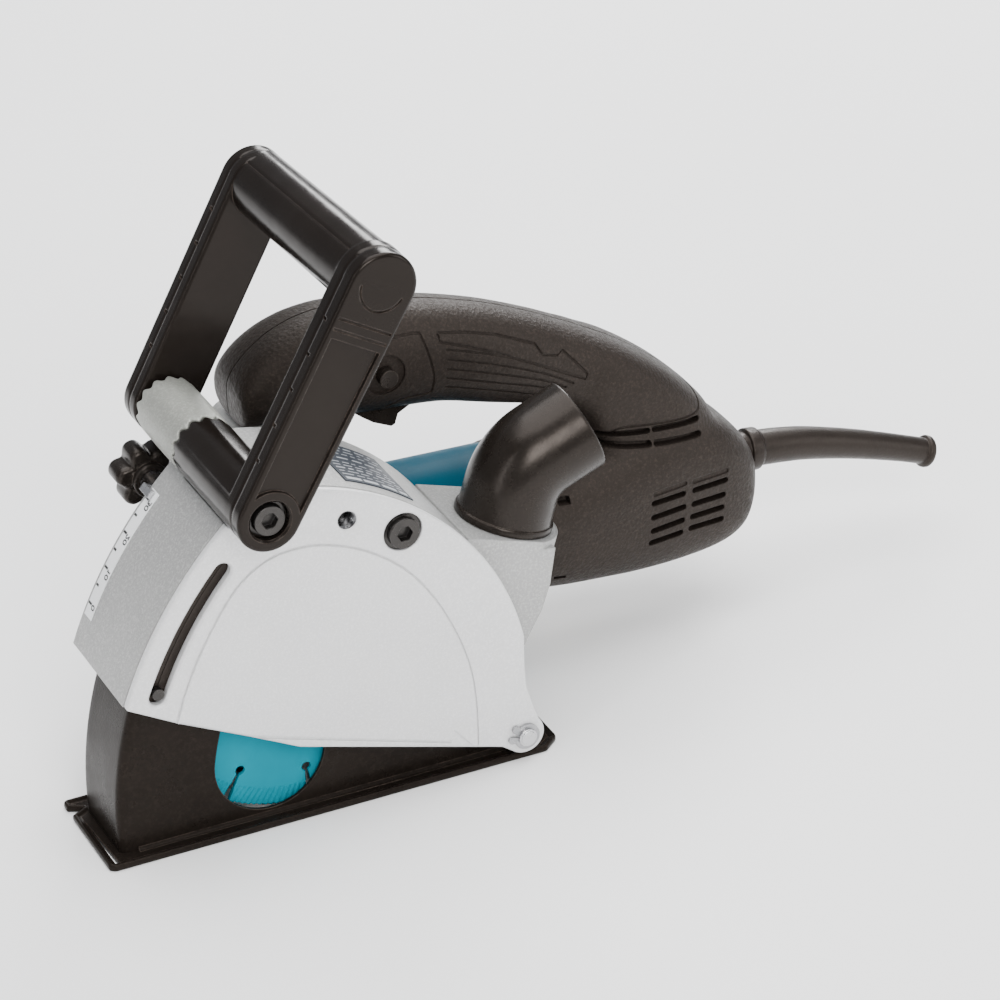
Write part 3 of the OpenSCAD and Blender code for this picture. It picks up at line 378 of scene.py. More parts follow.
LOOK = {
    "blade_case": "cast", "side_cover": "cover", "cover_bolt": "dark", "grip_holder": "holder", "name_plate": "plate", "depth_scale": "white",
    "hinge_pin": "steel", "hinge_circlips": "spring", "return_spring": "spring", "base_shoe": "foot", "guide_pin": "dark",
    "gear_housing": "gear", "bearing_box": "gear", "spindle_bearing": "steel", "needle_bearing": "steel", "gear_screws": "dark",
    "housing_screws": "dark", "spindle": "steel", "ring_gear": "dark", "inner_flange": "dark", "spacer_rings": "steel",
    "near_blade": "blade", "far_blade": "blade", "lock_nut": "dark", "motor_housing": "teal", "baffle_plate": "switch",
    "stator_core": "lam", "stator_coils": "copper", "motor_bearing_front": "steel", "motor_bearing_rear": "steel",
    "armature_shaft": "steel", "armature_core": "lam", "armature_coils": "copper", "commutator": "copper", "cooling_fan": "fan",
    "pinion": "dark", "brush_holders": "brass", "carbon_brushes": "graphite", "brush_springs": "spring", "handle_left": "handle",
    "handle_right": "handle", "handle_screws": "dark", "switch_body": "switch", "trigger": "satin", "trigger_spring": "spring",
    "lock_button": "satin", "controller": "board", "capacitor": "cap", "cord_guard": "rubber", "cord_clamp": "dark",
    "shaft_lock": "satin", "shaft_lock_spring": "spring", "depth_bolt": "steel", "depth_knob": "satin", "front_grip": "gloss",
    "grip_bolts": "dark", "dust_nozzle": "satin"}
for n, key in LOOK.items():
    set_mat(n, key)
for n, w in {"blade_case": 0.8, "side_cover": 0.8, "gear_housing": 1.2, "base_shoe": 0.45, "depth_knob": 1.4, "cover_bolt": 0.3,
             "grip_bolts": 0.3, "trigger": 1.2, "lock_nut": 0.4, "shaft_lock": 0.6, "hinge_pin": 0.3,
             "motor_housing": 0.8, "grip_holder": 0.4, "bearing_box": 0.4, "depth_bolt": 0.3}.items():
    bevel_stack(NODES[n], w, 3 if w > 0.5 else 2)


def P(r, a):
    a = math.radians(a)
    return (-r * math.cos(a), PIN_Z + r * math.sin(a))


# ------------------------------------------------------------------ front grip
ARM_L, ARM_A, BAR_R = 101.9, 60.1, 14.5
L2, A2, R2 = ARM_L - 3.2, ARM_A + 1.4, BAR_R - 0.8
BX, BZ = GX + ARM_L * math.cos(math.radians(ARM_A)), GZ + ARM_L * math.sin(math.radians(ARM_A))
EX, EZ = GX + L2 * math.cos(math.radians(A2)), GZ + L2 * math.sin(math.radians(A2))


def smooth(x, a, b):
    t = np.clip((x - a) / (b - a), 0, 1)
    return t * t * (3 - 2 * t)


def arm_dirs(A):
    a = math.radians(A)
    return np.array([math.cos(a), math.sin(a)]), np.array([-math.sin(a), math.cos(a)])


def arm_world(A, q):
    d, nrm = arm_dirs(A)
    q = np.asarray(q, float)
    return np.array([GX, GZ]) + np.outer(q[:, 0], d) + np.outer(q[:, 1], nrm)


def grip_arm(L, A, r0, r1, y_out, y_in, side):
    """one arm: a tapered stadium slab with rounded edges and a parting line down its narrow sides"""
    n_arc, n_side = 48, 60
    out, med = [], []
    tip = np.linspace(-90, 90, n_arc)
    for t in np.radians(tip):
        out.append((L + r1 * math.cos(t), r1 * math.sin(t)))
        med.append((L, 0.0))
    for q in np.linspace(L, 0, n_side)[1:-1]:
        out.append((q, r0 + (r1 - r0) * q / L))
        med.append((q, 0.0))
    for t in np.radians(tip + 180):
        out.append((r0 * math.cos(t), r0 * math.sin(t)))
        med.append((0.0, 0.0))
    for q in np.linspace(0, L, n_side)[1:-1]:
        out.append((q, -(r0 + (r1 - r0) * q / L)))
        med.append((q, 0.0))
    out, med = np.array(out), np.array(med)
    rad = np.linalg.norm(out - med, axis=1)

    def ring(inset, y):
        fr = np.clip((rad - inset) / rad, 0.02, 1)
        w = arm_world(A, med + (out - med) * fr[:, None])
        return np.stack([w[:, 0], y + 0 * rad, w[:, 1]], 1)
    R = 1.7
    rs = [ring(12.8, y_out), ring(6.0, y_out), ring(R + 0.6, y_out)]
    for t in np.radians(np.linspace(0, 90, 8)):
        rs.append(ring(R - R * math.sin(t), y_out + side * (R - R * math.cos(t))))
    thick = abs(y_out - y_in)
    for t in np.linspace(0, 1, 15)[1:-1]:
        rs.append(ring(0.38 * math.exp(-((t - 0.5) / 0.05) ** 2), y_out + side * (R + (thick - 2 * R) * t)))
    for t in np.radians(np.linspace(90, 0, 8)):
        rs.append(ring(R - R * math.sin(t), y_in - side * (R - R * math.cos(t))))
    rs += [ring(R + 0.6, y_in), ring(6.0, y_in), ring(12.8, y_in)]
    return rings(rs, cap=True)


def teeth_wave(a, k):
    return k * np.sin(14 * a)


def boss(y0, y1, wave_at_end, r=13.5):
    n = 168
    a = np.linspace(0, 2 * np.pi, n, endpoint=False)
    prof = arc_fillet([(0.2, y0), (r, y0), (r, y1, 1.2), (8.2, y1)], 5)
    rs = []
    for i, (rr, h) in enumerate(prof):
        last = (h > (y0 + y1) / 2)
        hh = h + (wave_at_end * np.sin(14 * a) * (rr / r) if last and y1 > y0 else 0) + 0 * a
        if y1 < y0:
            hh = h + (wave_at_end * np.sin(14 * a) * (rr / r) if h < (y0 + y1) / 2 else 0) + 0 * a
        rs.append(np.stack([GX + rr * np.cos(a), hh, GZ + rr * np.sin(a)], 1))
    return rings(rs, cap=True)


def bar_between():
    p0 = np.array([BX, -49.0, BZ])
    p1 = np.array([EX, 68.5, EZ])
    ax = p1 - p0
    L = np.linalg.norm(ax)
    ax /= L
    u = np.cross(ax, [0, 0, 1.0])
    u /= np.linalg.norm(u)
    v = np.cross(ax, u)
    a = np.linspace(0, 2 * np.pi, 128, endpoint=False)
    rs = []
    for t in np.linspace(0, 1, 60):
        r = (BAR_R - 0.3) * (1 - t) + (R2 - 0.2) * t
        # fillet into both arms
        y = p0[1] + (p1[1] - p0[1]) * t
        line = 0.28 * np.exp(-((np.degrees(a) % 180 - 62) / 2.0) ** 2)
        rr = r - line
        rs.append(p0 + ax * L * t + np.outer(rr * np.cos(a), u) + np.outer(rr * np.sin(a), v))
    return rings(rs, cap=True)


def holder_mesh():
    n = 168
    a = np.linspace(0, 2 * np.pi, n, endpoint=False)
    rs = []
    for rr, h, w in [(8, 18.2, 1.25), (12.4, 16.9, 1.25), (13.1, 17.0, 1.25), (13.45, 17.5, 1.25), (13.5, 19.5, 0.2), (13.5, 22, 0), (13.62, 30, 0), (13.62, 42, 0),
                     (13.5, 50, 0), (13.5, 52.6, 0.2), (13.45, 54.6, 1.25), (13.1, 55.0, 1.25), (12.4, 55.1, 1.25), (8, 54, 1.25)]:
        rs.append(np.stack([GX + rr * np.cos(a), h + w * np.sin(14 * a), GZ + rr * np.sin(a)], 1))
    return rings(rs, cap=True)


hv, hf = holder_mesh()
obj_from("grip_holder_cast", hv, hf, M["holder"], "tool", ["grip_holder"], angle=40)

# ------------------------------------------------------------------ dust outlet
PX, PZ, PITCH = 5.1, 100.5, math.radians(17.5)


def port(x, y, z):
    return np.stack([PX + x * math.cos(PITCH) + z * math.sin(PITCH), y, PZ - x * math.sin(PITCH) + z * math.cos(PITCH)], -1)


def elbow_mesh(R=19.8, wall=2.4):
    rb, ba, rise = 24.0, math.radians(50), 14.0
    path = []
    for t in np.linspace(0.15, rise, 7):
        path.append((0.0, t, 0.0))
    for t in np.linspace(0, ba, 18)[1:]:
        path.append((rb * (1 - math.cos(t)), rise + rb * math.sin(t), t))
    c, z0 = path[-1][0], path[-1][1]
    for t in np.linspace(0, 19, 14)[1:]:
        path.append((c + t * math.sin(ba), z0 + t * math.cos(ba), ba))
    n = 128
    a = np.linspace(0, 2 * np.pi, n, endpoint=False)

    def ring_at(i, r):
        x, z, t = path[i]
        return port(x + r * np.cos(a) * math.cos(t), r * np.sin(a), z - r * np.cos(a) * math.sin(t))

    def end_ring(off, r):
        x, z, t = path[-1]
        return port(x + off * math.sin(t) + r * np.cos(a) * math.cos(t), r * np.sin(a), z + off * math.cos(t) - r * np.cos(a) * math.sin(t))

    rs = []
    for h, r in [(-6.8, 17.6), (-6.8, 18.0), (-4.4, 18.1), (-0.1, 18.15), (0.15, 20.4), (0.35, 20.9), (0.9, 21.0), (2.6, 21.0), (3.2, 20.7), (3.4, 20.0)]:
        rs.append(port(r * np.cos(a), r * np.sin(a), h + 0 * a))
    for i in range(3, len(path) - 1):
        s = i / (len(path) - 1)
        rs.append(ring_at(i, R * (1.0 if i < 26 else 1.0)))
    rs.append(end_ring(-0.9, R))
    rs.append(end_ring(-0.4, R - 0.12))
    rs.append(end_ring(-0.1, R - 0.4))
    rs.append(end_ring(0.0, R - 0.8))
    rs.append(end_ring(0.0, R - wall + 0.5))
    rs.append(end_ring(-0.25, R - wall + 0.1))
    rs.append(end_ring(-0.8, R - wall))
    for i in range(len(path) - 2, -1, -1):
        rs.append(ring_at(i, R - wall))
    rs.append(port((R - wall) * np.cos(a), (R - wall) * np.sin(a), -6.8 + 0 * a))
    return rings(rs, cap=False, closed=True)


ev, ef = elbow_mesh()
obj_from("outlet_elbow", ev, ef, M["satin"], "dust_nozzle", ["dust_nozzle"], angle=40)

# ------------------------------------------------------------------ rear handle
grip_st = [[-88.6, 147.5, 154.6, 12, 2.6], [-88, 142, 157.6, 15.4, 2.8], [-86.2, 139.3, 161.2, 17.5, 2.9], [-81.5, 139.1, 166.8, 19, 2.9], [-75.5, 139.1, 171.8, 19.8, 2.8],
  [-67, 139.1, 176.6, 20.2, 2.7], [-56, 138.8, 180, 20.4, 2.6], [-44, 134.5, 181.2, 20.4, 2.6], [-30, 131.8, 180.4, 20.2, 2.5], [-12, 130.2, 177.6, 19.8, 2.45], [2, 128.4, 174.4, 19.4, 2.4],
  [26, 121.8, 167, 19, 2.4], [54, 114.2, 154.8, 19, 2.5], [63, 110.2, 150.1, 19.4, 2.6], [69, 103, 147.1, 20.2, 2.7], [75, 91, 143.6, 21.8, 2.9], [84, 82, 138.6, 23.4, 3.1], [96, 76, 130.6, 24.8, 3.2], [110, 70, 119.8, 25.6, 3.1], [122, 64, 108.6, 24.6, 2.9], [130, 60, 99.4, 22, 2.7]]
rear_st = [[32.8, 31.6, 91.6, 35.4, 2.4], [38, 31.4, 92, 35.8, 2.5], [52, 30.6, 92.4, 35.8, 2.8], [70, 29.8, 94.6, 35, 3.2], [88, 29, 97.6, 33.8, 3.6], [104, 28.8, 100, 32.6, 3.8],
  [118, 29.2, 98.8, 31.2, 3.8], [130, 30.6, 94, 29.8, 3.7], [138, 32.8, 88.2, 28, 3.5], [143.6, 36.2, 83, 25.8, 3.2], [147.2, 41.5, 78.4, 22.8, 2.8], [149.6, 47.5, 74.4, 18.6, 2.5], [150.6, 52, 71.4, 14, 2.3]]


def herm(y, k):
    """monotone cubic through y at 0, 1, 2..., k steps a span"""
    y = np.asarray(y, float)
    d = np.diff(y)
    m = np.zeros(len(y))
    m[1:-1] = np.where(d[:-1] * d[1:] > 0, 2 * d[:-1] * d[1:] / (d[:-1] + d[1:] + 1e-12), 0)
    m[0], m[-1] = d[0], d[-1]
    out = []
    for i in range(len(y) - 1):
        for j in range(k):
            t = j / k
            h00, h10, h01, h11 = 2 * t ** 3 - 3 * t * t + 1, t ** 3 - 2 * t * t + t, -2 * t ** 3 + 3 * t * t, t ** 3 - t * t
            out.append(h00 * y[i] + h10 * m[i] + h01 * y[i + 1] + h11 * m[i + 1])
    out.append(y[-1])
    return np.array(out)


def loft(st, k=6, n=150, d=0.0):
    st = np.array(st)
    cols = [herm(st[:, i], k) for i in range(5)]
    a = np.linspace(0, 2 * np.pi, n, endpoint=False)
    rs = []
    for x, lo, hi, hw, e in zip(*cols):
        c, s = np.cos(a), np.sin(a)
        rs.append(np.stack([x + 0 * a, YM + (hw - d) * np.sign(c) * np.abs(c) ** (2 / e),
                            (lo + hi) / 2 + ((hi - lo) / 2 - d) * np.sign(s) * np.abs(s) ** (2 / e)], 1))
    return rings(rs, cap=True)


def temp_obj(name, v, f):
    me = bpy.data.meshes.new(name)
    me.from_pydata((np.asarray(v, float) / 1000.0).tolist(), [], [tuple(int(i) for i in q) for q in f])
    bm = bmesh.new()
    bm.from_mesh(me)
    bmesh.ops.recalc_face_normals(bm, faces=bm.faces)
    bm.to_mesh(me)
    bm.free()
    o = bpy.data.objects.new(name, me)
    bpy.context.scene.collection.objects.link(o)
    return o


def applied(o):
    dg = bpy.context.evaluated_depsgraph_get()
    me = bpy.data.meshes.new_from_object(o.evaluated_get(dg))
    return me


def drop(o):
    me = o.data
    bpy.data.objects.remove(o)
    if me.users == 0:
        bpy.data.meshes.remove(me)


def boolean(o, other, op):
    m = o.modifiers.new("b", "BOOLEAN")
    m.operation = op
    m.object = other
    m.solver = "MANIFOLD"
    me = applied(o)
    o.modifiers.clear()
    old = o.data
    o.data = me
    bpy.data.meshes.remove(old)


def prism_y(poly, y0, y1):
    """closed outline in XZ extruded along Y"""
    poly = np.asarray(poly, float)
    n = len(poly)
    a = np.stack([poly[:, 0], np.full(n, y0), poly[:, 1]], 1)
    b = np.stack([poly[:, 0], np.full(n, y1), poly[:, 1]], 1)
    v = np.vstack([a, b])
    f = [(i, (i + 1) % n, n + (i + 1) % n, n + i) for i in range(n)]
    f += [tuple(range(n))[::-1], tuple(range(n, 2 * n))]
    return v, f


def curve(p, k=8):
    p = np.asarray(p, float)
    n = len(p)
    out = []
    for i in range(n - 1):
        p0, p1, p2, p3 = p[max(i - 1, 0)], p[i], p[i + 1], p[min(i + 2, n - 1)]
        for j in range(k):
            t = j / k
            out.append(0.5 * ((2 * p1) + (-p0 + p2) * t + (2 * p0 - 5 * p1 + 4 * p2 - p3) * t * t + (-p0 + 3 * p1 - 3 * p2 + p3) * t ** 3))
    out.append(p[-1])
    return np.array(out)


def stroke(p, w, k=8, closed=False, round_it=True):
    """outline of a band of width w along a polyline"""
    q = curve(p, k) if round_it else np.asarray(p, float)
    t = np.gradient(q, axis=0)
    t /= np.linalg.norm(t, axis=1)[:, None] + 1e-9
    nn = np.stack([-t[:, 1], t[:, 0]], 1)
    a, b = q + nn * w / 2, q - nn * w / 2
    a0 = q[0] - t[0] * w / 2
    b0 = q[-1] + t[-1] * w / 2
    return np.vstack([a, b0[None], b[::-1], a0[None]])


def capsule(x0, z0, x1, z1, r, n=12):
    d = math.atan2(z1 - z0, x1 - x0)
    out = []
    for i in range(n + 1):
        t = d - math.pi / 2 + math.pi * i / n
        out.append((x1 + r * math.cos(t), z1 + r * math.sin(t)))
    for i in range(n + 1):
        t = d + math.pi / 2 + math.pi * i / n
        out.append((x0 + r * math.cos(t), z0 + r * math.sin(t)))
    return out


def shell_of(me, v, nor, d):
    c = me.copy()
    c.vertices.foreach_set("co", ((v + nor * d) / 1000).ravel())
    c.update()
    o = bpy.data.objects.new("c", c)
    bpy.context.scene.collection.objects.link(o)
    _temps.append(o)
    return o


_temps = []


def circle(x, z, r, n=48):
    return [(x + r * math.cos(2 * math.pi * i / n), z + r * math.sin(2 * math.pi * i / n)) for i in range(n)]


def build_handle():
    a = temp_obj("h", *loft(grip_st))
    b = temp_obj("r", *loft(rear_st))
    boolean(a, b, "UNION")
    drop(b)
    rm = a.modifiers.new("rm", "REMESH")
    rm.mode = "VOXEL"
    rm.voxel_size = 0.0011
    me = applied(a)
    a.modifiers.clear()
    a.data = me
    n = len(me.vertices)
    v = np.empty(n * 3)
    me.vertices.foreach_get("co", v)
    v = v.reshape(-1, 3) * 1000
    e = np.empty(len(me.edges) * 2, dtype=np.int64)
    me.edges.foreach_get("vertices", e)
    e = e.reshape(-1, 2)
    deg = np.bincount(e.ravel(), minlength=n).astype(float)[:, None]

    def lap(p):
        s = np.zeros_like(p)
        np.add.at(s, e[:, 0], p[e[:, 1]])
        np.add.at(s, e[:, 1], p[e[:, 0]])
        return s / deg - p
    for i in range(6):
        v = v + 0.5 * lap(v)
        v = v - 0.52 * lap(v)
    # the grip flows into the housing: smooth the seam more
    w = np.clip(1 - np.abs(v[:, 0] - 108) / 34, 0, 1) * np.clip(1 - np.abs(v[:, 2] - 97) / 22, 0, 1)
    w = np.clip(w * 2.2, 0, 1)[:, None]
    for i in range(60):
        v = v + 0.5 * w * lap(v)
    me.vertices.foreach_set("co", (v / 1000).ravel())
    me.update()
    nor = np.empty(n * 3)
    me.vertices.foreach_get("normal", nor)
    nor = nor.reshape(-1, 3)

    me0 = me.copy()

    def shell(d):
        return shell_of(me0, v, nor, d)
    core = shell(-0.6)
    inner = shell(-4.0)
    y0, y1 = YM - 60, YM + 60
    # shallow grooves
    leaf = [(-0.5, 165.9), (11.7, 163.3), (26.9, 158.4), (43.8, 150.5), (46.9, 145.1), (53.9, 143.1), (56.6, 144.6), (62.5, 137.7), (67.1, 131.8), (66.3, 129.6),
            (57.7, 133.9), (42.1, 142.5), (26.8, 150.6), (11.5, 157.7), (-0.3, 162.4), (-0.5, 165.9)]
    lines = [(leaf, 1.0, 1),
             ([(-21.3, 169.1), (-10.5, 168.4), (-8.0, 165.1), (-4.2, 149.9), (-4.4, 141.7), (-6.3, 139.8), (-16.4, 139.6), (-24, 136.5)], 1.1, 6),
             ([(71.5, 93.8), (74.7, 98.0), (78.7, 102.8), (85.1, 103.6), (102.8, 102.6), (117, 102.6), (120.4, 104.6), (121.4, 108.6), (119, 113)], 1.1, 6)]
    grooves = None
    for p, wd, k in lines:
        o = temp_obj("g", *prism_y(stroke(p, wd, k, round_it=k > 1), y0, y1))
        boolean(o, core, "DIFFERENCE")
        boolean(a, o, "DIFFERENCE")
        drop(o)
    # ribs of the grip panel and the panel's own edges
    ribs = [[(2.4, 158.6), (26.5, 149.9), (46.5, 140.4), (64.3, 130.8)], [(2.3, 154.2), (26.4, 145.5), (46.5, 136.9), (60.9, 128.6)],
            [(2.2, 149.8), (26.3, 141.3), (46.4, 133.5), (57.4, 127.4)], [(2.1, 145.5), (26.2, 137.0), (46.4, 130.0), (53.0, 126.4)],
            [(2.0, 141.1), (26.2, 132.8), (42.4, 127.0), (48.6, 124.6)]]
    for p in ribs:
        o = temp_obj("g", *prism_y(stroke(p, 0.8, 6), y0, y1))
        boolean(o, core, "DIFFERENCE")
        boolean(a, o, "DIFFERENCE")
        drop(o)
    # parting line all round
    o = temp_obj("g", *prism_y([(-120, 20), (-120, 200), (180, 200), (180, 20)], YM - 0.3, YM + 0.3))
    boolean(o, core, "DIFFERENCE")
    boolean(a, o, "DIFFERENCE")
    drop(o)
    # vents, window, blind slots
    cuts = []
    for i in range(2):
        cuts += [(73.4, 101.0 - 5.2 * i, 93.0, 100.2 - 5.6 * i, 1.45), (96.6, 100.4 - 6.0 * i, 117.2, 99.8 - 6.4 * i, 1.45)]
    low = [(91.9, 69.2, 106.6, 69.6), (91.7, 62.3, 106.8, 63.0), (91.5, 55.7, 106.2, 56.6), (90.6, 50.0, 105.4, 50.6),
           (112.6, 69.6, 128.6, 69.6), (112.2, 62.9, 127.4, 62.7), (111.5, 56.8, 126.8, 56.6), (110.8, 51.2, 126.6, 50.8)]
    cuts += [q + (1.4,) for q in low]
    for x0, z0, x1, z1, r in cuts:
        o = temp_obj("g", *prism_y(capsule(x0, z0, x1, z1, r), y0, y1))
        boolean(o, inner, "DIFFERENCE")
        boolean(a, o, "DIFFERENCE")
        drop(o)
    for x0, z0, x1, z1 in [(92.6, 73.6, 107.4, 74.4), (112.4, 74.0, 129.2, 74.0)]:
        o = temp_obj("g", *prism_y(capsule(x0, z0, x1, z1, 1.2), y0, y1))
        boolean(o, core, "DIFFERENCE")
        boolean(a, o, "DIFFERENCE")
        drop(o)
    # window low at the front, slit at the bottom edge
    for q, d in (([(46.4, 82.6), (52.2, 82.3), (52.2, 79.0), (46.6, 79.3)], inner), ([(43.6, 45.6), (49.4, 45.0), (49.4, 43.4), (43.6, 44.0)], inner)):
        o = temp_obj("g", *prism_y(q, y0, YM - 10))
        boolean(o, d, "DIFFERENCE")
        boolean(a, o, "DIFFERENCE")
        drop(o)
    # recess of the lock button with its ring, on the near side
    o = temp_obj("g", *prism_y(circle(-26, 153.8, 9.0), y0, YM))
    boolean(o, shell(-1.3), "DIFFERENCE")
    boolean(a, o, "DIFFERENCE")
    drop(o)
    # trigger opening
    o = temp_obj("g", *prism_y([(-41.2, 118), (-7.2, 118), (-7.2, 147), (-41.2, 147)], YM - 9.4, YM + 9.4))
    boolean(a, o, "DIFFERENCE")
    drop(o)
    # screw recesses on the far side
    for x, z in [(-78, 157.6), (-52, 170), (12, 158), (60, 130), (108, 92), (136, 41), (97, 36)]:
        o = temp_obj("g", *prism_y(circle(x, z, 3.7, 28), YM + 10.05, YM + 60))
        boolean(a, o, "DIFFERENCE")
        drop(o)
    for o in _temps:
        drop(o)
    _temps.clear()
    mo = a.data
    k = np.empty(len(mo.vertices) * 3)
    mo.vertices.foreach_get("co", k)
    k = k.reshape(-1, 3) + np.array([OX, OY, 0]) / 1000.0
    mo.vertices.foreach_set("co", k.ravel())
    mo.materials.clear()
    mo.materials.append(M["handle"])
    for p in mo.polygons:
        p.use_smooth = True
    mo.set_sharp_from_angle(angle=math.radians(38))
    mo.update()
    a.name = "rear_handle"
    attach(a, "tool")
    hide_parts("handle_left", "handle_right")
    return a


build_handle()



# ------------------------------------------------------------------ foot
def foot_walls():
    R, y_out, cr = 178.0, 19.5, 3.4
    top = np.array([(-178, 87.7), (-161.3, 87.7), (-132, 77), (-60, 46.5), (-14, 26), (-6, 19), (6, 17)], float)

    def sheet(off):
        yo = y_out - off
        rr = R - off
        c = max(cr - off, 0.6)
        plan = []
        for t in np.linspace(0, 1, 60):
            plan.append(("w", t, -yo))
        for t in np.linspace(0, 90, 9)[1:]:
            plan.append(("c", t, -1))
        for t in np.linspace(0, 1, 16)[1:-1]:
            plan.append(("f", t, 0))
        for t in np.linspace(90, 0, 9)[:-1]:
            plan.append(("c", t, 1))
        for t in np.linspace(1, 0, 60):
            plan.append(("w", t, yo))
        nz = 44
        grid = []
        for j in range(nz + 1):
            row = []
            for kind, t, q in plan:
                def at(z):
                    xf = -math.sqrt(max(rr * rr - (z - PIN_Z) ** 2, 1))
                    if kind == "w":
                        return 5.0 + (xf + c - 5.0) * t, q
                    if kind == "c":
                        a = math.radians(t)
                        return xf + c - c * math.sin(a), q * (yo - c + c * math.cos(a))
                    return xf, -(yo - c) + 2 * (yo - c) * t
                z = 30.0
                for _ in range(6):
                    x, y = at(z)
                    zt = float(np.interp(x, top[:, 0], top[:, 1]))
                    z = 1.2 + (zt - 1.2) * j / nz
                x, y = at(z)
                row.append((x, y, z))
            grid.append(row)
        return np.array(grid)
    a, b = sheet(0), sheet(1.5)
    nz, m = a.shape[0], a.shape[1]
    v = np.vstack([a.reshape(-1, 3), b.reshape(-1, 3)])
    n = nz * m
    f = []
    for j in range(nz - 1):
        for i in range(m - 1):
            q = (j * m + i, j * m + i + 1, (j + 1) * m + i + 1, (j + 1) * m + i)
            f.append(q)
            f.append(tuple(n + x for x in q[::-1]))
    for i in range(m - 1):
        f.append((i, n + i, n + i + 1, i + 1))
        k = (nz - 1) * m
        f.append((k + i + 1, n + k + i + 1, n + k + i, k + i))
    for j in range(nz - 1):
        k = j * m
        f.append((k + m, n + k + m, n + k, k))
        k = j * m + m - 1
        f.append((k, n + k, n + k + m, k + m))
    return v, f


def parc(r, a0, a1, n):
    return [P(r, a0 + (a1 - a0) * i / n) for i in range(n + 1)]


def carc(x, z, r, a0, a1, n):
    return [(x + r * math.cos(math.radians(a0 + (a1 - a0) * i / n)), z + r * math.sin(math.radians(a0 + (a1 - a0) * i / n))) for i in range(n + 1)]


def finish_temp(o, name, mat, body, replaces=(), angle=35, round_mm=None, segs=2):
    """moves a millimetre design mesh into the row frame and hands it to its body"""
    me = o.data
    k = np.empty(len(me.vertices) * 3)
    me.vertices.foreach_get("co", k)
    k = k.reshape(-1, 3) + np.array([OX, OY, 0]) / 1000.0
    me.vertices.foreach_set("co", k.ravel())
    me.materials.clear()
    me.materials.append(mat)
    for p in me.polygons:
        p.use_smooth = True
    me.set_sharp_from_angle(angle=math.radians(angle))
    me.update()
    o.name = name
    if round_mm:
        bevel_stack(o, round_mm, segs)
    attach(o, body)
    if replaces:
        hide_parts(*replaces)
    return o


win = parc(136.4, 46, 8.5, 20) + carc(P(112.1, 8.5)[0], P(112.1, 8.5)[1], 24.3, 171.5, 360 - 8.5, 40)[1:] + parc(87.8, 8.5, 60, 20)[1:]
w = temp_obj("w", *foot_walls())
c = temp_obj("c", *prism_y(win, -30, 30))
boolean(w, c, "DIFFERENCE")
drop(c)
c = temp_obj("c", *prism_y(circle(*P(173.3, 22.3), 2.6), -30, 0))
boolean(w, c, "DIFFERENCE")
drop(c)
c = temp_obj("c", *prism_y(circle(0, PIN_Z, 4.05), -30, 30))
boolean(w, c, "DIFFERENCE")
drop(c)
finish_temp(w, "foot_walls", M["foot"], "base", angle=50)


def rim_line(outline, prof, n_corner=1):
    """sweeps a profile of [inward, z] round a closed outline"""
    o = np.asarray(outline, float)
    n = len(o)
    t = np.roll(o, -1, 0) - np.roll(o, 1, 0)
    t /= np.linalg.norm(t, axis=1)[:, None]
    e1 = o - np.roll(o, 1, 0)
    e2 = np.roll(o, -1, 0) - o
    e1 /= np.linalg.norm(e1, axis=1)[:, None]
    e2 /= np.linalg.norm(e2, axis=1)[:, None]
    n1 = np.stack([-e1[:, 1], e1[:, 0]], 1)
    n2 = np.stack([-e2[:, 1], e2[:, 0]], 1)
    nn = n1 + n2
    nn /= (np.sum(nn * n1, 1))[:, None]
    rs = []
    for d, z in prof:
        q = o + nn * d
        rs.append(np.stack([q[:, 0], q[:, 1], np.full(n, z)], 1))
    return rings(rs, cap=False, closed=True)


def rounded_poly(corners, seg=7):
    """[x, y, radius] corners, anticlockwise"""
    out = []
    n = len(corners)
    for i in range(n):
        a, c_, b = (np.array(corners[(i + k) % n][:2], float) for k in (-1, 0, 1))
        r = corners[i][2]
        if r <= 0:
            out.append(tuple(c_))
            continue
        da, db = (a - c_) / np.linalg.norm(a - c_), (b - c_) / np.linalg.norm(b - c_)
        th = math.acos(np.clip(np.dot(da, db), -1, 1))
        d = r / math.tan(th / 2)
        p0, p1 = c_ + da * d, c_ + db * d
        for k in range(seg + 1):
            t = k / seg
            out.append(tuple((1 - t) ** 2 * p0 + 2 * t * (1 - t) * c_ + t * t * p1))
    return out


HW = 27.5
plan = rounded_poly([(-183.2, -HW, 3.0), (10.6, -HW, 3), (18, -HW + 6, 3), (18, HW, 3), (-185.2, HW, 2.4),
                     (-185.2, 22.4, 0.8), (-178.9, 19, 0.5), (-185.2, 15.6, 0.8), (-185.2, -HW + 2, 1.6)])
plan = np.array(plan)
# the rim swept round the plate's edge
rv, rf = rim_line(plan, [(0.9, 0.0), (0.25, 0.25), (0, 0.9), (0, 2.0), (0.2, 2.7), (0.6, 3.05), (1.0, 3.1), (1.5, 2.9), (1.9, 2.4), (2.4, 2.05), (3.2, 2.0), (3.2, 0.0)])
inner_edge = rounded_poly([(-171, -18, 1.5), (-30, -18, 1.5), (-30, 18, 1.5), (-171, 18, 1.5)])


def plate_fill():
    """the plate inside its rim, with the blade slot"""
    o = temp_obj("p", *[(lambda q: (np.vstack([np.c_[q, np.zeros(len(q))], np.c_[q, np.full(len(q), 2.0)]]),
                         [(i, (i + 1) % len(q), len(q) + (i + 1) % len(q), len(q) + i) for i in range(len(q))] + [tuple(range(len(q)))[::-1], tuple(range(len(q), 2 * len(q)))]))(plan_in)][0])
    q = np.array(inner_edge)
    n = len(q)
    cv = np.vstack([np.c_[q, np.full(n, -3.0)], np.c_[q, np.full(n, 6.0)]])
    cf = [(i, (i + 1) % n, n + (i + 1) % n, n + i) for i in range(n)] + [tuple(range(n))[::-1], tuple(range(n, 2 * n))]
    c = temp_obj("c", cv, cf)
    boolean(o, c, "DIFFERENCE")
    drop(c)
    return o


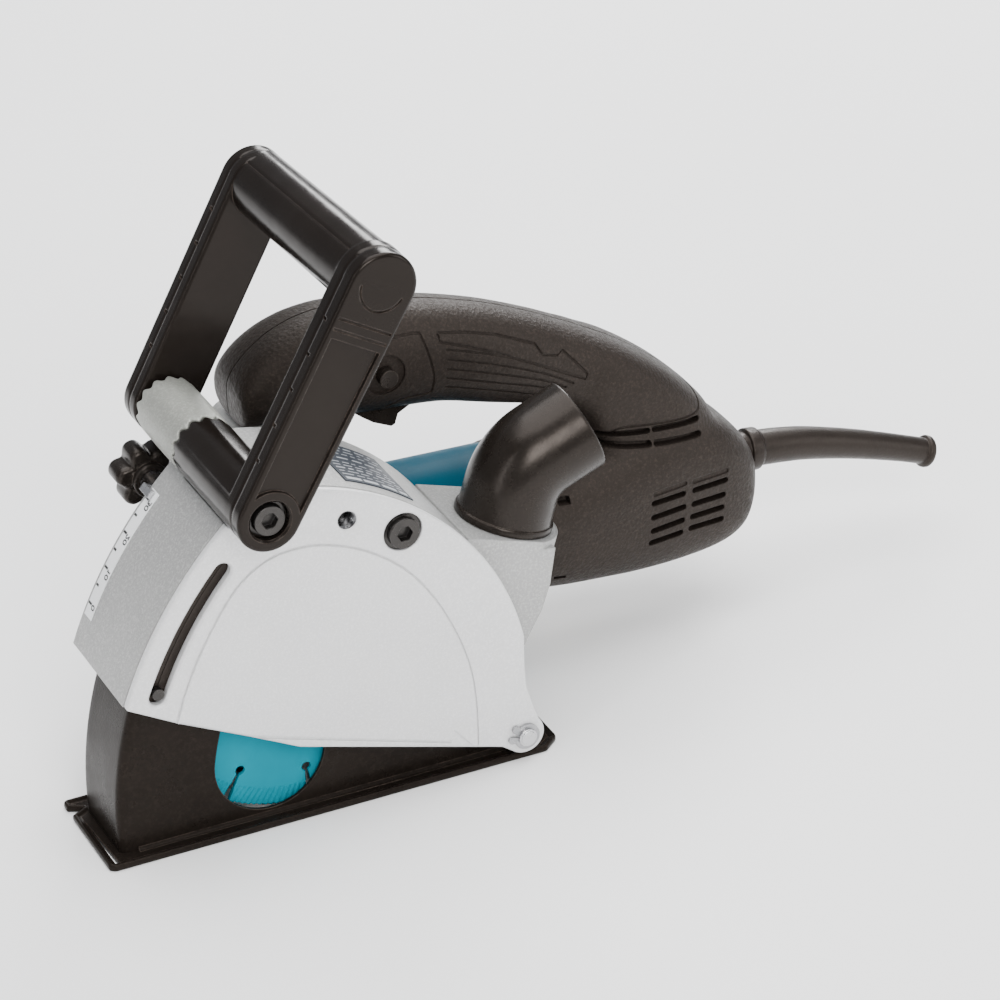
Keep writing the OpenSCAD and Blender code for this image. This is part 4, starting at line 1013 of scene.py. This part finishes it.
plan_in = np.array(rounded_poly([(-180.2, -HW + 3, 1), (8, -HW + 3, 1), (15, -HW + 8, 1), (15, HW - 3, 1), (-182.4, HW - 3, 1), (-182.4, 23.5, 0.3), (-176.2, 19, 0.3), (-182.4, 14.5, 0.3)]))
pf = plate_fill()
finish_temp(pf, "foot_plate", M["foot"], "base", angle=35)
obj_from("foot_rim", rv, rf, M["foot"], "base", ["base_shoe"], angle=60)
# fillet between walls and plate, and hinge ears
for sgn in (-1, 1):
    n = 40
    rs = []
    for x in np.linspace(-170, 5, 90):
        a = np.linspace(0, math.pi / 2, 7)
        y = sgn * (19.5 + 1.6 - 1.6 * np.sin(a))
        z = 2.0 + 1.6 - 1.6 * np.cos(a)
        ring = [(x, sgn * 18.6, 1.0), (x, sgn * 21.1, 1.0)] + [(x, yy, zz) for yy, zz in zip(y, z)] + [(x, sgn * 18.6, 3.6)]
        rs.append(np.array(ring))
    fv, ff = rings(rs, cap=True)
    obj_from("foot_fillet_%s" % ("near" if sgn < 0 else "far"), fv, ff, M["foot"], "base", angle=45)
    ear = turned(arc_fillet([(4.05, 15), (7.2, 15, 0.5), (7.2, 18.2), (8.7, 18.2, 0.3), (8.7, 19.5, 0.4), (4.05, 19.5)], 4) + [(4.05, 15)],
                 lambda a, b, h: np.stack([a, sgn * h, PIN_Z + b], 1), n=72)
    obj_from("foot_ear_%s" % ("near" if sgn < 0 else "far"), ear[0], ear[1], M["foot"], "base", angle=40)

# ------------------------------------------------------------------ front grip, cut from solids
def frustum_y(pa, ya, pb, yb):
    """two outlines with the same number of points, joined"""
    pa, pb = np.asarray(pa, float), np.asarray(pb, float)
    n = len(pa)
    v = np.vstack([np.stack([pa[:, 0], np.full(n, ya), pa[:, 1]], 1), np.stack([pb[:, 0], np.full(n, yb), pb[:, 1]], 1)])
    f = [(i, (i + 1) % n, n + (i + 1) % n, n + i) for i in range(n)]
    return v, f + [tuple(range(n))[::-1], tuple(range(n, 2 * n))]


def cut(o, v, f, op="DIFFERENCE"):
    c = temp_obj("c", v, f)
    boolean(o, c, op)
    drop(c)


def trough(L, r0, r1, inset, a0, s1):
    def half(q):
        return r0 + (r1 - r0) * q / L - inset
    sa = math.sqrt(a0 * a0 - half(9.0) ** 2)
    th = math.atan2(half(sa), sa)
    p = [(q, half(q)) for q in np.linspace(sa, s1, 12)]
    p += [(q, -half(q)) for q in np.linspace(s1, sa, 12)]
    p += [(a0 * math.cos(t), a0 * math.sin(t)) for t in np.linspace(-th, th, 18)[1:-1]]
    return p


def build_grip():
    a = temp_obj("g", *grip_arm(ARM_L, ARM_A, 13.5, BAR_R, -51.0, -36.0, 1.0))
    specs = [(a, ARM_L, ARM_A, BAR_R, -51.0, 1.0)]
    b = temp_obj("g2", *grip_arm(L2, A2, 13.5, R2, 70.0, 57.0, -1.0))
    specs.append((b, L2, A2, R2, 70.0, -1.0))
    for o, L, A, r1, yo, sd in specs:
        ya, yb = yo - sd * 3, yo + sd * 1.5
        pa, pb = trough(L, 13.5, r1, 1.9, 12.0, L - 24.2), trough(L, 13.5, r1, 3.4, 12.9, L - 24.9)
        pm = trough(L, 13.5, r1, 2.6, 12.3, L - 24.5)
        cut(o, *frustum_y(arm_world(A, pa), ya, arm_world(A, pb), yb))
        # the crescent on the end pad, and its two cross grooves
        arc = [(L + 9.6 * math.cos(t), 9.6 * math.sin(t)) for t in np.radians(np.linspace(100, 260, 30))]
        cut(o, *prism_y(arm_world(A, stroke(arc, 0.8, 1, round_it=False)), *sorted((yo - sd * 3, yo + sd * 0.7))))
        half = r1 - 2.2
        cut(o, *prism_y(arm_world(A, [(L - 16.8, -half), (L - 15.8, -half), (L - 15.8, half), (L - 16.8, half)]), *sorted((yo - sd * 3, yo + sd * 0.8))))
        cut(o, *prism_y(arm_world(A, [(L - 21.4, -half), (L - 20.4, -half), (L - 20.4, half), (L - 21.4, half)]), *sorted((yo - sd * 3, yo + sd * 0.5))))
        # notches that break the parting line on the front edge
        for k in range(5):
            s0 = 20 + k * 15.5
            cut(o, *prism_y(arm_world(A, [(s0, 12.4 + 0.006 * s0), (s0 + 1.1, 12.4 + 0.006 * s0), (s0 + 1.1, 16), (s0, 16)]), *sorted((yo + sd * 4.6, yo + sd * 7.4))))
        cut(o, *prism_y(circle(GX, GZ, 8.35, 96), *sorted((yo - sd * 3, yo + sd * 4.7))))
        rim = frustum_y(circle(GX, GZ, 9.4, 96), yo - sd * 0.2, circle(GX, GZ, 8.3, 96), yo + sd * 0.9)
        cut(o, *rim)
    c = temp_obj("g3", *bar_between())
    boolean(a, c, "UNION")
    drop(c)
    boolean(a, b, "UNION")
    drop(b)
    c = temp_obj("g4", *boss(-38.0, 15.9, 1.25))
    boolean(a, c, "UNION")
    drop(c)
    return finish_temp(a, "grip_body", M["gloss"], "front_grip", ["front_grip"], angle=32)


build_grip()


# ------------------------------------------------------------------ side cover
def slot_poly(w, n=40):
    p = [P(173.3 + w, 21.9 + 19.3 * i / n) for i in range(n + 1)]
    for a, sg in ((41.2, 1), (21.9, -1)):
        c = np.array(P(173.3, a))
        u = np.array([-math.cos(math.radians(a)), math.sin(math.radians(a))])
        t = np.array([math.sin(math.radians(a)), math.cos(math.radians(a))])
        for f in np.radians(np.linspace(0, 180, 15))[1:-1]:
            p.append(tuple(c + sg * w * (u * math.cos(f) + t * math.sin(f))))
        if sg > 0:
            p += [P(173.3 - w, 41.2 - 19.3 * i / n) for i in range(n + 1)]
    return p


def build_cover():
    outline = parc(185.3, 19.7, 50, 40) + carc(-117.7, 35.9, 120.5, 87.5, 11.6, 64) + [(0.3, 47.4), (1, 36), (3.9, 25.8)]
    outline += carc(0, PIN_Z, 8.8, 42, -128, 30) + [(-10.5, 9.3), (-101.2, 36.3), (-122.8, 47.6), (-152.7, 62.5)]
    o = temp_obj("cv", *prism_y(outline, -29.4, -25.4))
    b = o.modifiers.new("r", "BEVEL")
    b.width = 0.0013
    b.segments = 4
    b.limit_method = "ANGLE"
    b.angle_limit = math.radians(50)
    me = applied(o)
    o.modifiers.clear()
    o.data = me
    ridge = [(-153.7, 63.2), (-149.5, 76), (-143.3, 90.2), (-137, 101.5), (-130.5, 111.5), (-123.5, 119.8), (-115.5, 125.5), (-106.5, 128.6), (-95.5, 129),
             (-84.5, 126.8), (-71, 121), (-58.5, 112.5), (-48.5, 102.5), (-40, 90.2), (-33, 76.5), (-27.5, 62.5), (-23.6, 47), (-22.2, 30), (-22, 14.6)]
    rc = curve(ridge, 6)
    pad = [tuple(q) for q in rc] + [(-24.6, 14.8), (-32.9, 25.1), (-34.6, 20.0), (-123.2, 48.9), (-152.0, 63.4)]
    rc2 = np.array(pad)
    cut(o, *prism_y(pad, -29.85, -28.5), op="UNION")
    cut(o, *prism_y(stroke([tuple(q) for q in rc[::3]], 0.7, 1, round_it=False), -31, -28.85))
    cut(o, *prism_y(stroke([(-123.0, 47.6), (-34.2, 18.9)], 0.5, 1, round_it=False), -31, -28.95))
    cut(o, *prism_y(circle(-76.9, 135.7, 7.5, 64), -26, -13.05), op="UNION")
    cut(o, *prism_y(circle(0, PIN_Z, 8.45, 64), -26, -20.25), op="UNION")
    cut(o, *prism_y(circle(GX, GZ, 14.2, 96), -40, 0))
    cut(o, *prism_y(slot_poly(3.6), -40, -20))
    cut(o, *frustum_y(slot_poly(5.2), -30.0, slot_poly(3.55), -28.35))
    cut(o, *prism_y(circle(-52.9, 124.3, 8.4, 96), -40, -26.8))
    cut(o, *frustum_y(circle(-52.9, 124.3, 9.2, 96), -30.0, circle(-52.9, 124.3, 8.3, 96), -29.1))
    cut(o, *prism_y(circle(-52.9, 124.3, 4, 48), -40, -10))
    cut(o, *prism_y(circle(0, PIN_Z, 4.02, 64), -40, -10))
    n = 64
    a = np.linspace(0, 2 * np.pi, n, endpoint=False)
    rs = []
    for y in np.arange(-31.0, -14.4, 0.17):
        tri = np.abs(((y / 1.25 + a / (2 * np.pi)) % 1.0) * 2 - 1)
        r = 3.4 + 0.62 * tri
        r = r + max(0.0, -28.6 - y) * 1.0
        rs.append(np.stack([-76.9 + r * np.cos(a), y + 0 * a, 135.7 + r * np.sin(a)], 1))
    cut(o, *rings(rs, cap=True))
    o = finish_temp(o, "side_cover_plate", M["cover"], "tool", ["side_cover"], angle=32)
    o.data.materials.append(M["thread"])
    for q in o.data.polygons:
        c = q.center
        if math.hypot(c.x * 1000 - OX + 76.9, c.z * 1000 - 135.7) < 4.15 and c.y * 1000 - OY > -29.0:
            q.material_index = 1
    return o


build_cover()
# black lips that close the arc slot behind the cover
for k, (ra, rb) in enumerate(((167.4, 173.2), (173.4, 179.2))):
    lip = parc(rb, 19.9, 43.8, 50) + parc(ra, 43.8, 19.9, 50)
    o = temp_obj("lip", *frustum_y(lip, -25.35, lip, -24.6))
    finish_temp(o, "slot_lip_%d" % (k + 1), M["rubber"], "tool", angle=40)

# ------------------------------------------------------------------ blades
def blade_mesh(yc, name, node):
    n = 1440
    a = np.linspace(0, 2 * np.pi, n, endpoint=False)
    rs = []
    prof = [(11.115, 1.1), (11.4, 1.1), (19.8, 1.1), (20.0, 0.95), (20.2, 0.8), (53.6, 0.8), (54.3, 0.95), (54.6, 1.02)]
    prof += [(r, 1.1) for r in np.linspace(54.9, 62.2, 12)] + [(62.5, 0.95)]
    front = []
    for r, h in prof:
        hh = h + 0 * a
        if r > 54.7:
            ph = (a * 150 + (r - 54.7) * 0.75) % (2 * np.pi)
            hh = h - 0.34 * smooth(np.sin(ph), -0.25, 0.25)
        rr = r + 0 * a
        if r > 62.3:
            ph = (a * 150 + (r - 54.7) * 0.75) % (2 * np.pi)
            rr = r - 0.25 * smooth(np.sin(ph), -0.25, 0.25)
        front.append((rr, hh))
    for rr, hh in front:
        rs.append(np.stack([SX + rr * np.cos(a), yc - hh, SZ + rr * np.sin(a)], 1))
    for rr, hh in reversed(front):
        rs.append(np.stack([SX + rr * np.cos(a), yc + hh, SZ + rr * np.sin(a)], 1))
    o = temp_obj("b", *rings(rs, cap=False, closed=True))
    cv = []
    for i in range(10):
        t = math.radians(-(31 + i * 36))
        # rotate about +Y as the CAD does
        def rot(x, z):
            return SX + x * math.cos(t) - z * math.sin(t), SZ + x * math.sin(t) + z * math.cos(t)
        p = []
        for k in range(25):
            q = math.radians(-90 + 22 + (360 - 44) * k / 24)
            p.append(rot(2.1 * math.cos(q), -48.2 + 2.1 * math.sin(q)))
        p = [rot(2.2, -66)] + p + [rot(-2.2, -66)]
        cv.append(prism_y(p, yc - 3, yc + 3))
    c = temp_obj("c", *join(cv))
    boolean(o, c, "DIFFERENCE")
    drop(c)
    return finish_temp(o, name, M["blade"], "spindle", [node], angle=30)


blade_mesh(-15.0, "blade_near", "near_blade")
blade_mesh(15.0, "blade_far", "far_blade")

# ------------------------------------------------------------------ depth knob
KX, KZ = P(173.3, 41.9)


def knob():
    n = 180
    a = np.linspace(0, 2 * np.pi, n, endpoint=False)
    lobe = 12.35 + 1.75 * np.cos(6 * (a + math.radians(12))) - 0.30 * np.cos(12 * (a + math.radians(12)))
    prof = [(0.55, 49, 0), (0.62, 49, 0), (0.64, 49.3, 0), (0.64, 51.6, 0)]
    rs = []

    def add(fr, y, round_hub=0.0):
        r = lobe * fr * (1 - round_hub) + 7.6 * round_hub
        rs.append(np.stack([KX + r * np.cos(a), y + 0 * a, KZ + r * np.sin(a)], 1))
    add(0.42, 49.0, 1.0 - 1e-9 if False else 0.0)
    rs.clear()
    for r, y in [(3.2, 58.9), (3.2, 49.6), (3.6, 49.1), (6.9, 49.1), (7.4, 49.35), (7.6, 49.9), (7.6, 51.4)]:
        rs.append(np.stack([KX + r * np.cos(a), y + 0 * a, KZ + r * np.sin(a)], 1))
    for d, y in [(3.6, 52.0), (2.6, 52.0), (1.9, 52.15), (1.2, 52.5), (0.6, 53.1), (0.2, 53.9), (0, 54.8), (0, 62.4), (0.25, 63.4), (0.8, 64.2), (1.6, 64.75), (2.6, 65.0), (4.4, 65.0), (5.0, 64.8), (5.4, 64.4)]:
        r = lobe - d
        rs.append(np.stack([KX + r * np.cos(a), y + 0 * a, KZ + r * np.sin(a)], 1))
    for r, y in [(5.2, 64.2), (4.9, 64.0), (4.6, 63.9), (0.2, 63.9)]:
        rs.append(np.stack([KX + r * np.cos(a), y + 0 * a, KZ + r * np.sin(a)], 1))
    return rings(rs, cap=True)


kv, kf = knob()
obj_from("depth_knob_star", kv, kf, M["satin"], "depth_knob", ["depth_knob"], angle=45)

# ------------------------------------------------------------------ cord guard
guard = np.array([[139, 65], [157, 63.2], [169, 61.9], [182, 59.8], [195, 56.6], [209, 52.6], [223, 48], [236, 43.4], [247.6, 39]], float)
g_r = [8.1, 8.1, 8.0, 7.6, 7.2, 6.8, 6.4, 6.1, 6.0]
gc = curve(guard, 10)
gr = np.interp(np.linspace(0, 8, len(gc)), np.arange(9), g_r)
gt = np.gradient(gc, axis=0)
gt /= np.linalg.norm(gt, axis=1)[:, None]
a_ = np.linspace(0, 2 * np.pi, 72, endpoint=False)


def g_ring(i, r, off=0.0):
    c_, d_ = gc[i] + gt[i] * off, gt[i]
    return np.stack([c_[0] - d_[1] * r * np.sin(a_), YM + r * np.cos(a_), c_[1] + d_[0] * r * np.sin(a_)], 1)


rs = [g_ring(3, 4.2), g_ring(3, gr[3])]
for i in range(4, len(gc) - 2):
    rs.append(g_ring(i, gr[i]))
last = len(gc) - 1
rs += [g_ring(last, gr[-1], -1.6), g_ring(last, 6.3, -1.2), g_ring(last, 7.0, -0.9), g_ring(last, 7.35, -0.3), g_ring(last, 7.4, 0.6), g_ring(last, 7.25, 1.5),
       g_ring(last, 6.9, 2.0), g_ring(last, 6.3, 2.2), g_ring(last, 4.7, 2.2), g_ring(last, 4.3, 2.0), g_ring(last, 4.2, 1.4)]
for i in range(last - 1, 3, -1):
    rs.append(g_ring(i, 4.2))
gv, gf = rings(rs, cap=False, closed=True)
col = turned([(8.0, 150.3)] , lambda a, b, h: np.stack([h + 0 * a, YM + a, 64 + b], 1), n=8) if False else None
rs2 = []
for t, r in [(14.0, 8.0), (14.0, 9.2), (14.3, 9.55), (15.0, 9.6), (18.6, 9.6), (19.2, 9.4), (19.6, 8.9), (20.4, 8.2)]:
    j = 3
    k_ = (t - 14.0) / 6.4 * 6.8 + 154.2
    cz = float(np.interp(k_, gc[:, 0], gc[:, 1]))
    d_ = np.array([0.9945, -0.1045])
    rs2.append(np.stack([k_ - d_[1] * r * np.sin(a_), YM + r * np.cos(a_), cz + d_[0] * r * np.sin(a_)], 1))
cv2, cf2 = rings(rs2, cap=True)
gv, gf = join([(gv, gf), (cv2, cf2)])
obj_from("strain_relief", gv, gf, M["rubber"], "tool", ["cord_guard"], angle=45)

# ------------------------------------------------------------------ depth scale and rating plate
def arc_patch(fn, u0, u1, v0, v1, lift, nu=6, nv=2):
    v = []
    for i in range(nu + 1):
        for j in range(nv + 1):
            v.append(fn(u0 + (u1 - u0) * i / nu, v0 + (v1 - v0) * j / nv, lift))
    f = []
    for i in range(nu):
        for j in range(nv):
            k = i * (nv + 1) + j
            f.append((k, k + nv + 1, k + nv + 2, k + 1))
    return np.array(v), f


def front_face(s, y, lift):
    """s is millimetres down the arc from the 30 mark, y across"""
    ang = 41.2 - math.degrees(s / 185.65)
    x, z = P(185.3 + 0.36 + lift, ang)
    return (x, y, z)


digits = {"0": [[(0.5, 0), (0.15, 0.25), (0.05, 0.5), (0.05, 1.1), (0.15, 1.35), (0.5, 1.6), (0.85, 1.35), (0.95, 1.1), (0.95, 0.5), (0.85, 0.25), (0.5, 0)]],
          "1": [[(0.2, 1.25), (0.55, 1.6), (0.55, 0)]],
          "2": [[(0.1, 1.25), (0.25, 1.5), (0.55, 1.6), (0.85, 1.45), (0.9, 1.15), (0.75, 0.8), (0.1, 0), (0.95, 0)]],
          "3": [[(0.1, 1.4), (0.5, 1.6), (0.85, 1.4), (0.8, 1.0), (0.5, 0.85), (0.85, 0.7), (0.95, 0.35), (0.75, 0.08), (0.45, 0), (0.1, 0.15)]]}


def ink_line(p, w, fn):
    p = np.array(p, float)
    q = [p[0]]
    for a0, b0 in zip(p[:-1], p[1:]):
        for t in (0.5, 1.0):
            q.append(a0 + (b0 - a0) * t)
    q = np.array(q)
    t = np.gradient(q, axis=0)
    t /= np.linalg.norm(t, axis=1)[:, None] + 1e-9
    nn = np.stack([-t[:, 1], t[:, 0]], 1) * w / 2
    v = [fn(*x) for x in np.vstack([q + nn, q - nn])]
    m = len(q)
    return np.array(v), [(i, i + 1, m + i + 1, m + i) for i in range(m - 1)]


ink = []
STEP = 185.65 * math.radians(2.55)
for i in range(7):
    s0 = i * STEP
    depth = 30 - 5 * i
    ln = 3.0 if depth % 10 == 0 else 2.3
    ink.append(arc_patch(front_face, s0 - 0.52, s0 + 0.52, 27.4, 27.4 - ln, 0.06, 2, 2))
    if depth % 10 == 0:
        for k, ch in enumerate(str(depth)):
            for line in digits[ch]:
                hgt, wid = 1.62, 1.9
                ink.append(ink_line([(s0 - 0.3 + k * 2.45 + u * wid, 21.3 + vv * hgt) for u, vv in line], 0.62, lambda a, b: front_face(a, b, 0.06)))
iv, if_ = join(ink)
obj_from("scale_marks", iv, if_, M["ink"], "tool", angle=None)


def top_face(ang, y, lift):
    r = 120.5 + 0.46 + lift
    return (-117.7 + r * math.cos(math.radians(ang)), y, 35.9 + r * math.sin(math.radians(ang)))


bars = []
rng = np.random.RandomState(7)
for col_i, y0 in enumerate([-17.2, -12.6, -9.6, -6.6, -3.4, -0.4, 4.0, 8.6, 12.0, 15.2]):
    wdt = 2.2 if col_i == 0 else (0.7 if col_i % 3 else 1.1)
    a0 = 67.2
    while a0 > 53.4:
        ln = float(rng.uniform(0.8, 2.6)) if col_i else 3.4
        a1 = max(a0 - ln, 52.9)
        bars.append(arc_patch(top_face, a0, a1, y0, y0 + wdt, 0.03, 4, 1))
        a0 = a1 - float(rng.uniform(0.5, 1.0))
bv, bf = join(bars)
obj_from("plate_marks", bv, bf, M["plate_light"], "tool", angle=None)

# ------------------------------------------------------------------ motor housing
def motor_mesh():
    n = 192
    a = np.linspace(0, 2 * np.pi, n, endpoint=False)
    ct, st = math.cos(math.radians(2)), math.sin(math.radians(2))

    def put(t, yy, zz):
        return np.stack([SX + t * ct + zz * st, YM + yy, SZ - t * st + zz * ct], -1)
    prof = [(30.4, 128.6), (30.4, 48.1), (33.6, 48.1), (34.2, 48.3), (34.4, 49), (34.4, 53.4), (34.1, 54.6), (33.4, 56.4)]
    prof += [(33.0, t) for t in np.linspace(57.5, 128.0, 90)] + [(32.6, 129.0), (30.4, 129.2)]
    rs = []
    for r, t in prof:
        # a step that winds over the top of the casing
        cut = 86 + 26 * np.sin(a - 2.2)
        up = 0.9 * smooth(t - cut, -0.5, 0.5) * (1 if 57 < t < 128.4 else 0) * smooth(np.sin(a), 0.0, 0.35)
        rr = r + up
        rs.append(put(t + 0 * a, rr * np.cos(a), rr * np.sin(a)))
    v, f = rings(rs, cap=False, closed=True)
    parts = [(v, f)]
    for q in (45, 135, 225, 315):
        qa = math.radians(q)
        cy, cz = 37.5 * math.cos(qa), 37.5 * math.sin(qa)
        b_ = np.linspace(0, 2 * np.pi, 40, endpoint=False)
        er = []
        for r, t in [(0.1, 48.1), (4.6, 48.1), (5.1, 48.4), (5.2, 49), (5.2, 62.6), (4.9, 64), (4.0, 65.2), (2.4, 65.9), (0.1, 66)]:
            er.append(put(t + 0 * b_, cy + r * np.cos(b_), cz + r * np.sin(b_)))
        parts.append(rings(er, cap=True))
    return join(parts)


mv, mf = motor_mesh()
obj_from("motor_casing", mv, mf, M["teal"], "tool", ["motor_housing"], angle=35)

# ------------------------------------------------------------------ stage, lights, camera
def make_camera():
    cam = bpy.data.cameras.new("camera")
    o = bpy.data.objects.new("camera", cam)
    bpy.context.scene.collection.objects.link(o)
    c = V(-633.9628567071143, -1346.5388886596063, 949.7072510479951)
    r = Vector((0.8993054517669369, -0.43697625117426986, -0.01736261305066338))
    u = Vector((0.2283378800498002, 0.4353222895190216, 0.8708365614639066))
    b = Vector((-0.37297656354874187, -0.7871126095785779, 0.49126593906536276))
    o.matrix_world = Matrix(((r.x, u.x, b.x, c.x), (r.y, u.y, b.y, c.y), (r.z, u.z, b.z, c.z), (0, 0, 0, 1)))
    cam.sensor_width = 36.0
    cam.sensor_fit = "HORIZONTAL"
    cam.lens = 36.0 * 4.159213
    cam.clip_start = 0.05
    cam.clip_end = 50.0
    bpy.context.scene.camera = o


def area(name, loc, target, size, power, color=(1, 1, 1), size_y=None):
    l = bpy.data.lights.new(name, "AREA")
    l.energy = power
    l.color = color
    l.size = size
    if size_y:
        l.shape = "RECTANGLE"
        l.size_y = size_y
    o = bpy.data.objects.new(name, l)
    bpy.context.scene.collection.objects.link(o)
    o.location = loc
    o.rotation_euler = (Vector(target) - Vector(loc)).to_track_quat("-Z", "Y").to_euler()
    return o


def make_stage():
    me = bpy.data.meshes.new("floor")
    s = 6.0
    me.from_pydata([(-s, -s, 0), (s, -s, 0), (s, s, 0), (-s, s, 0)], [], [(0, 1, 2, 3)])
    fl = bpy.data.objects.new("floor", me)
    bpy.context.scene.collection.objects.link(fl)
    k = Nodes("floor_pale")
    col = k.mix(k.remap(k.noise(3.0, 2.0), 0.3, 0.7, 0, 1), [0.95, 0.95, 0.95, 1], [0.97, 0.97, 0.97, 1])
    k.link(col, k.b.inputs["Base Color"])
    k.b.inputs["Roughness"].default_value = 0.9
    k.b.inputs["Specular IOR Level"].default_value = 0.1
    me.materials.append(k.m)
    w = bpy.data.worlds.new("studio")
    bpy.context.scene.world = w
    w.use_nodes = True
    bg = w.node_tree.nodes["Background"]
    bg.inputs["Color"].default_value = (0.93, 0.95, 1.0, 1)
    bg.inputs["Strength"].default_value = 0.42
    area("key", (-0.35, -1.7, 1.25), (0, 0, 0.12), 0.9, 34, (1, 0.99, 0.97))
    area("top", (0.15, 0.25, 1.9), (0, 0, 0.0), 2.2, 70)
    area("rim", (0.9, 1.2, 0.9), (0, 0, 0.15), 0.7, 22)
    area("strip", (-1.5, -0.75, 0.75), (0, 0, 0.15), 0.10, 7, size_y=1.5)
    area("fill", (1.3, -1.0, 0.7), (0, 0, 0.1), 0.9, 10)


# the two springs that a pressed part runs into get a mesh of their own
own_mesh(NODES["trigger_spring"])
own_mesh(NODES["shaft_lock_spring"])

make_camera()
make_stage()
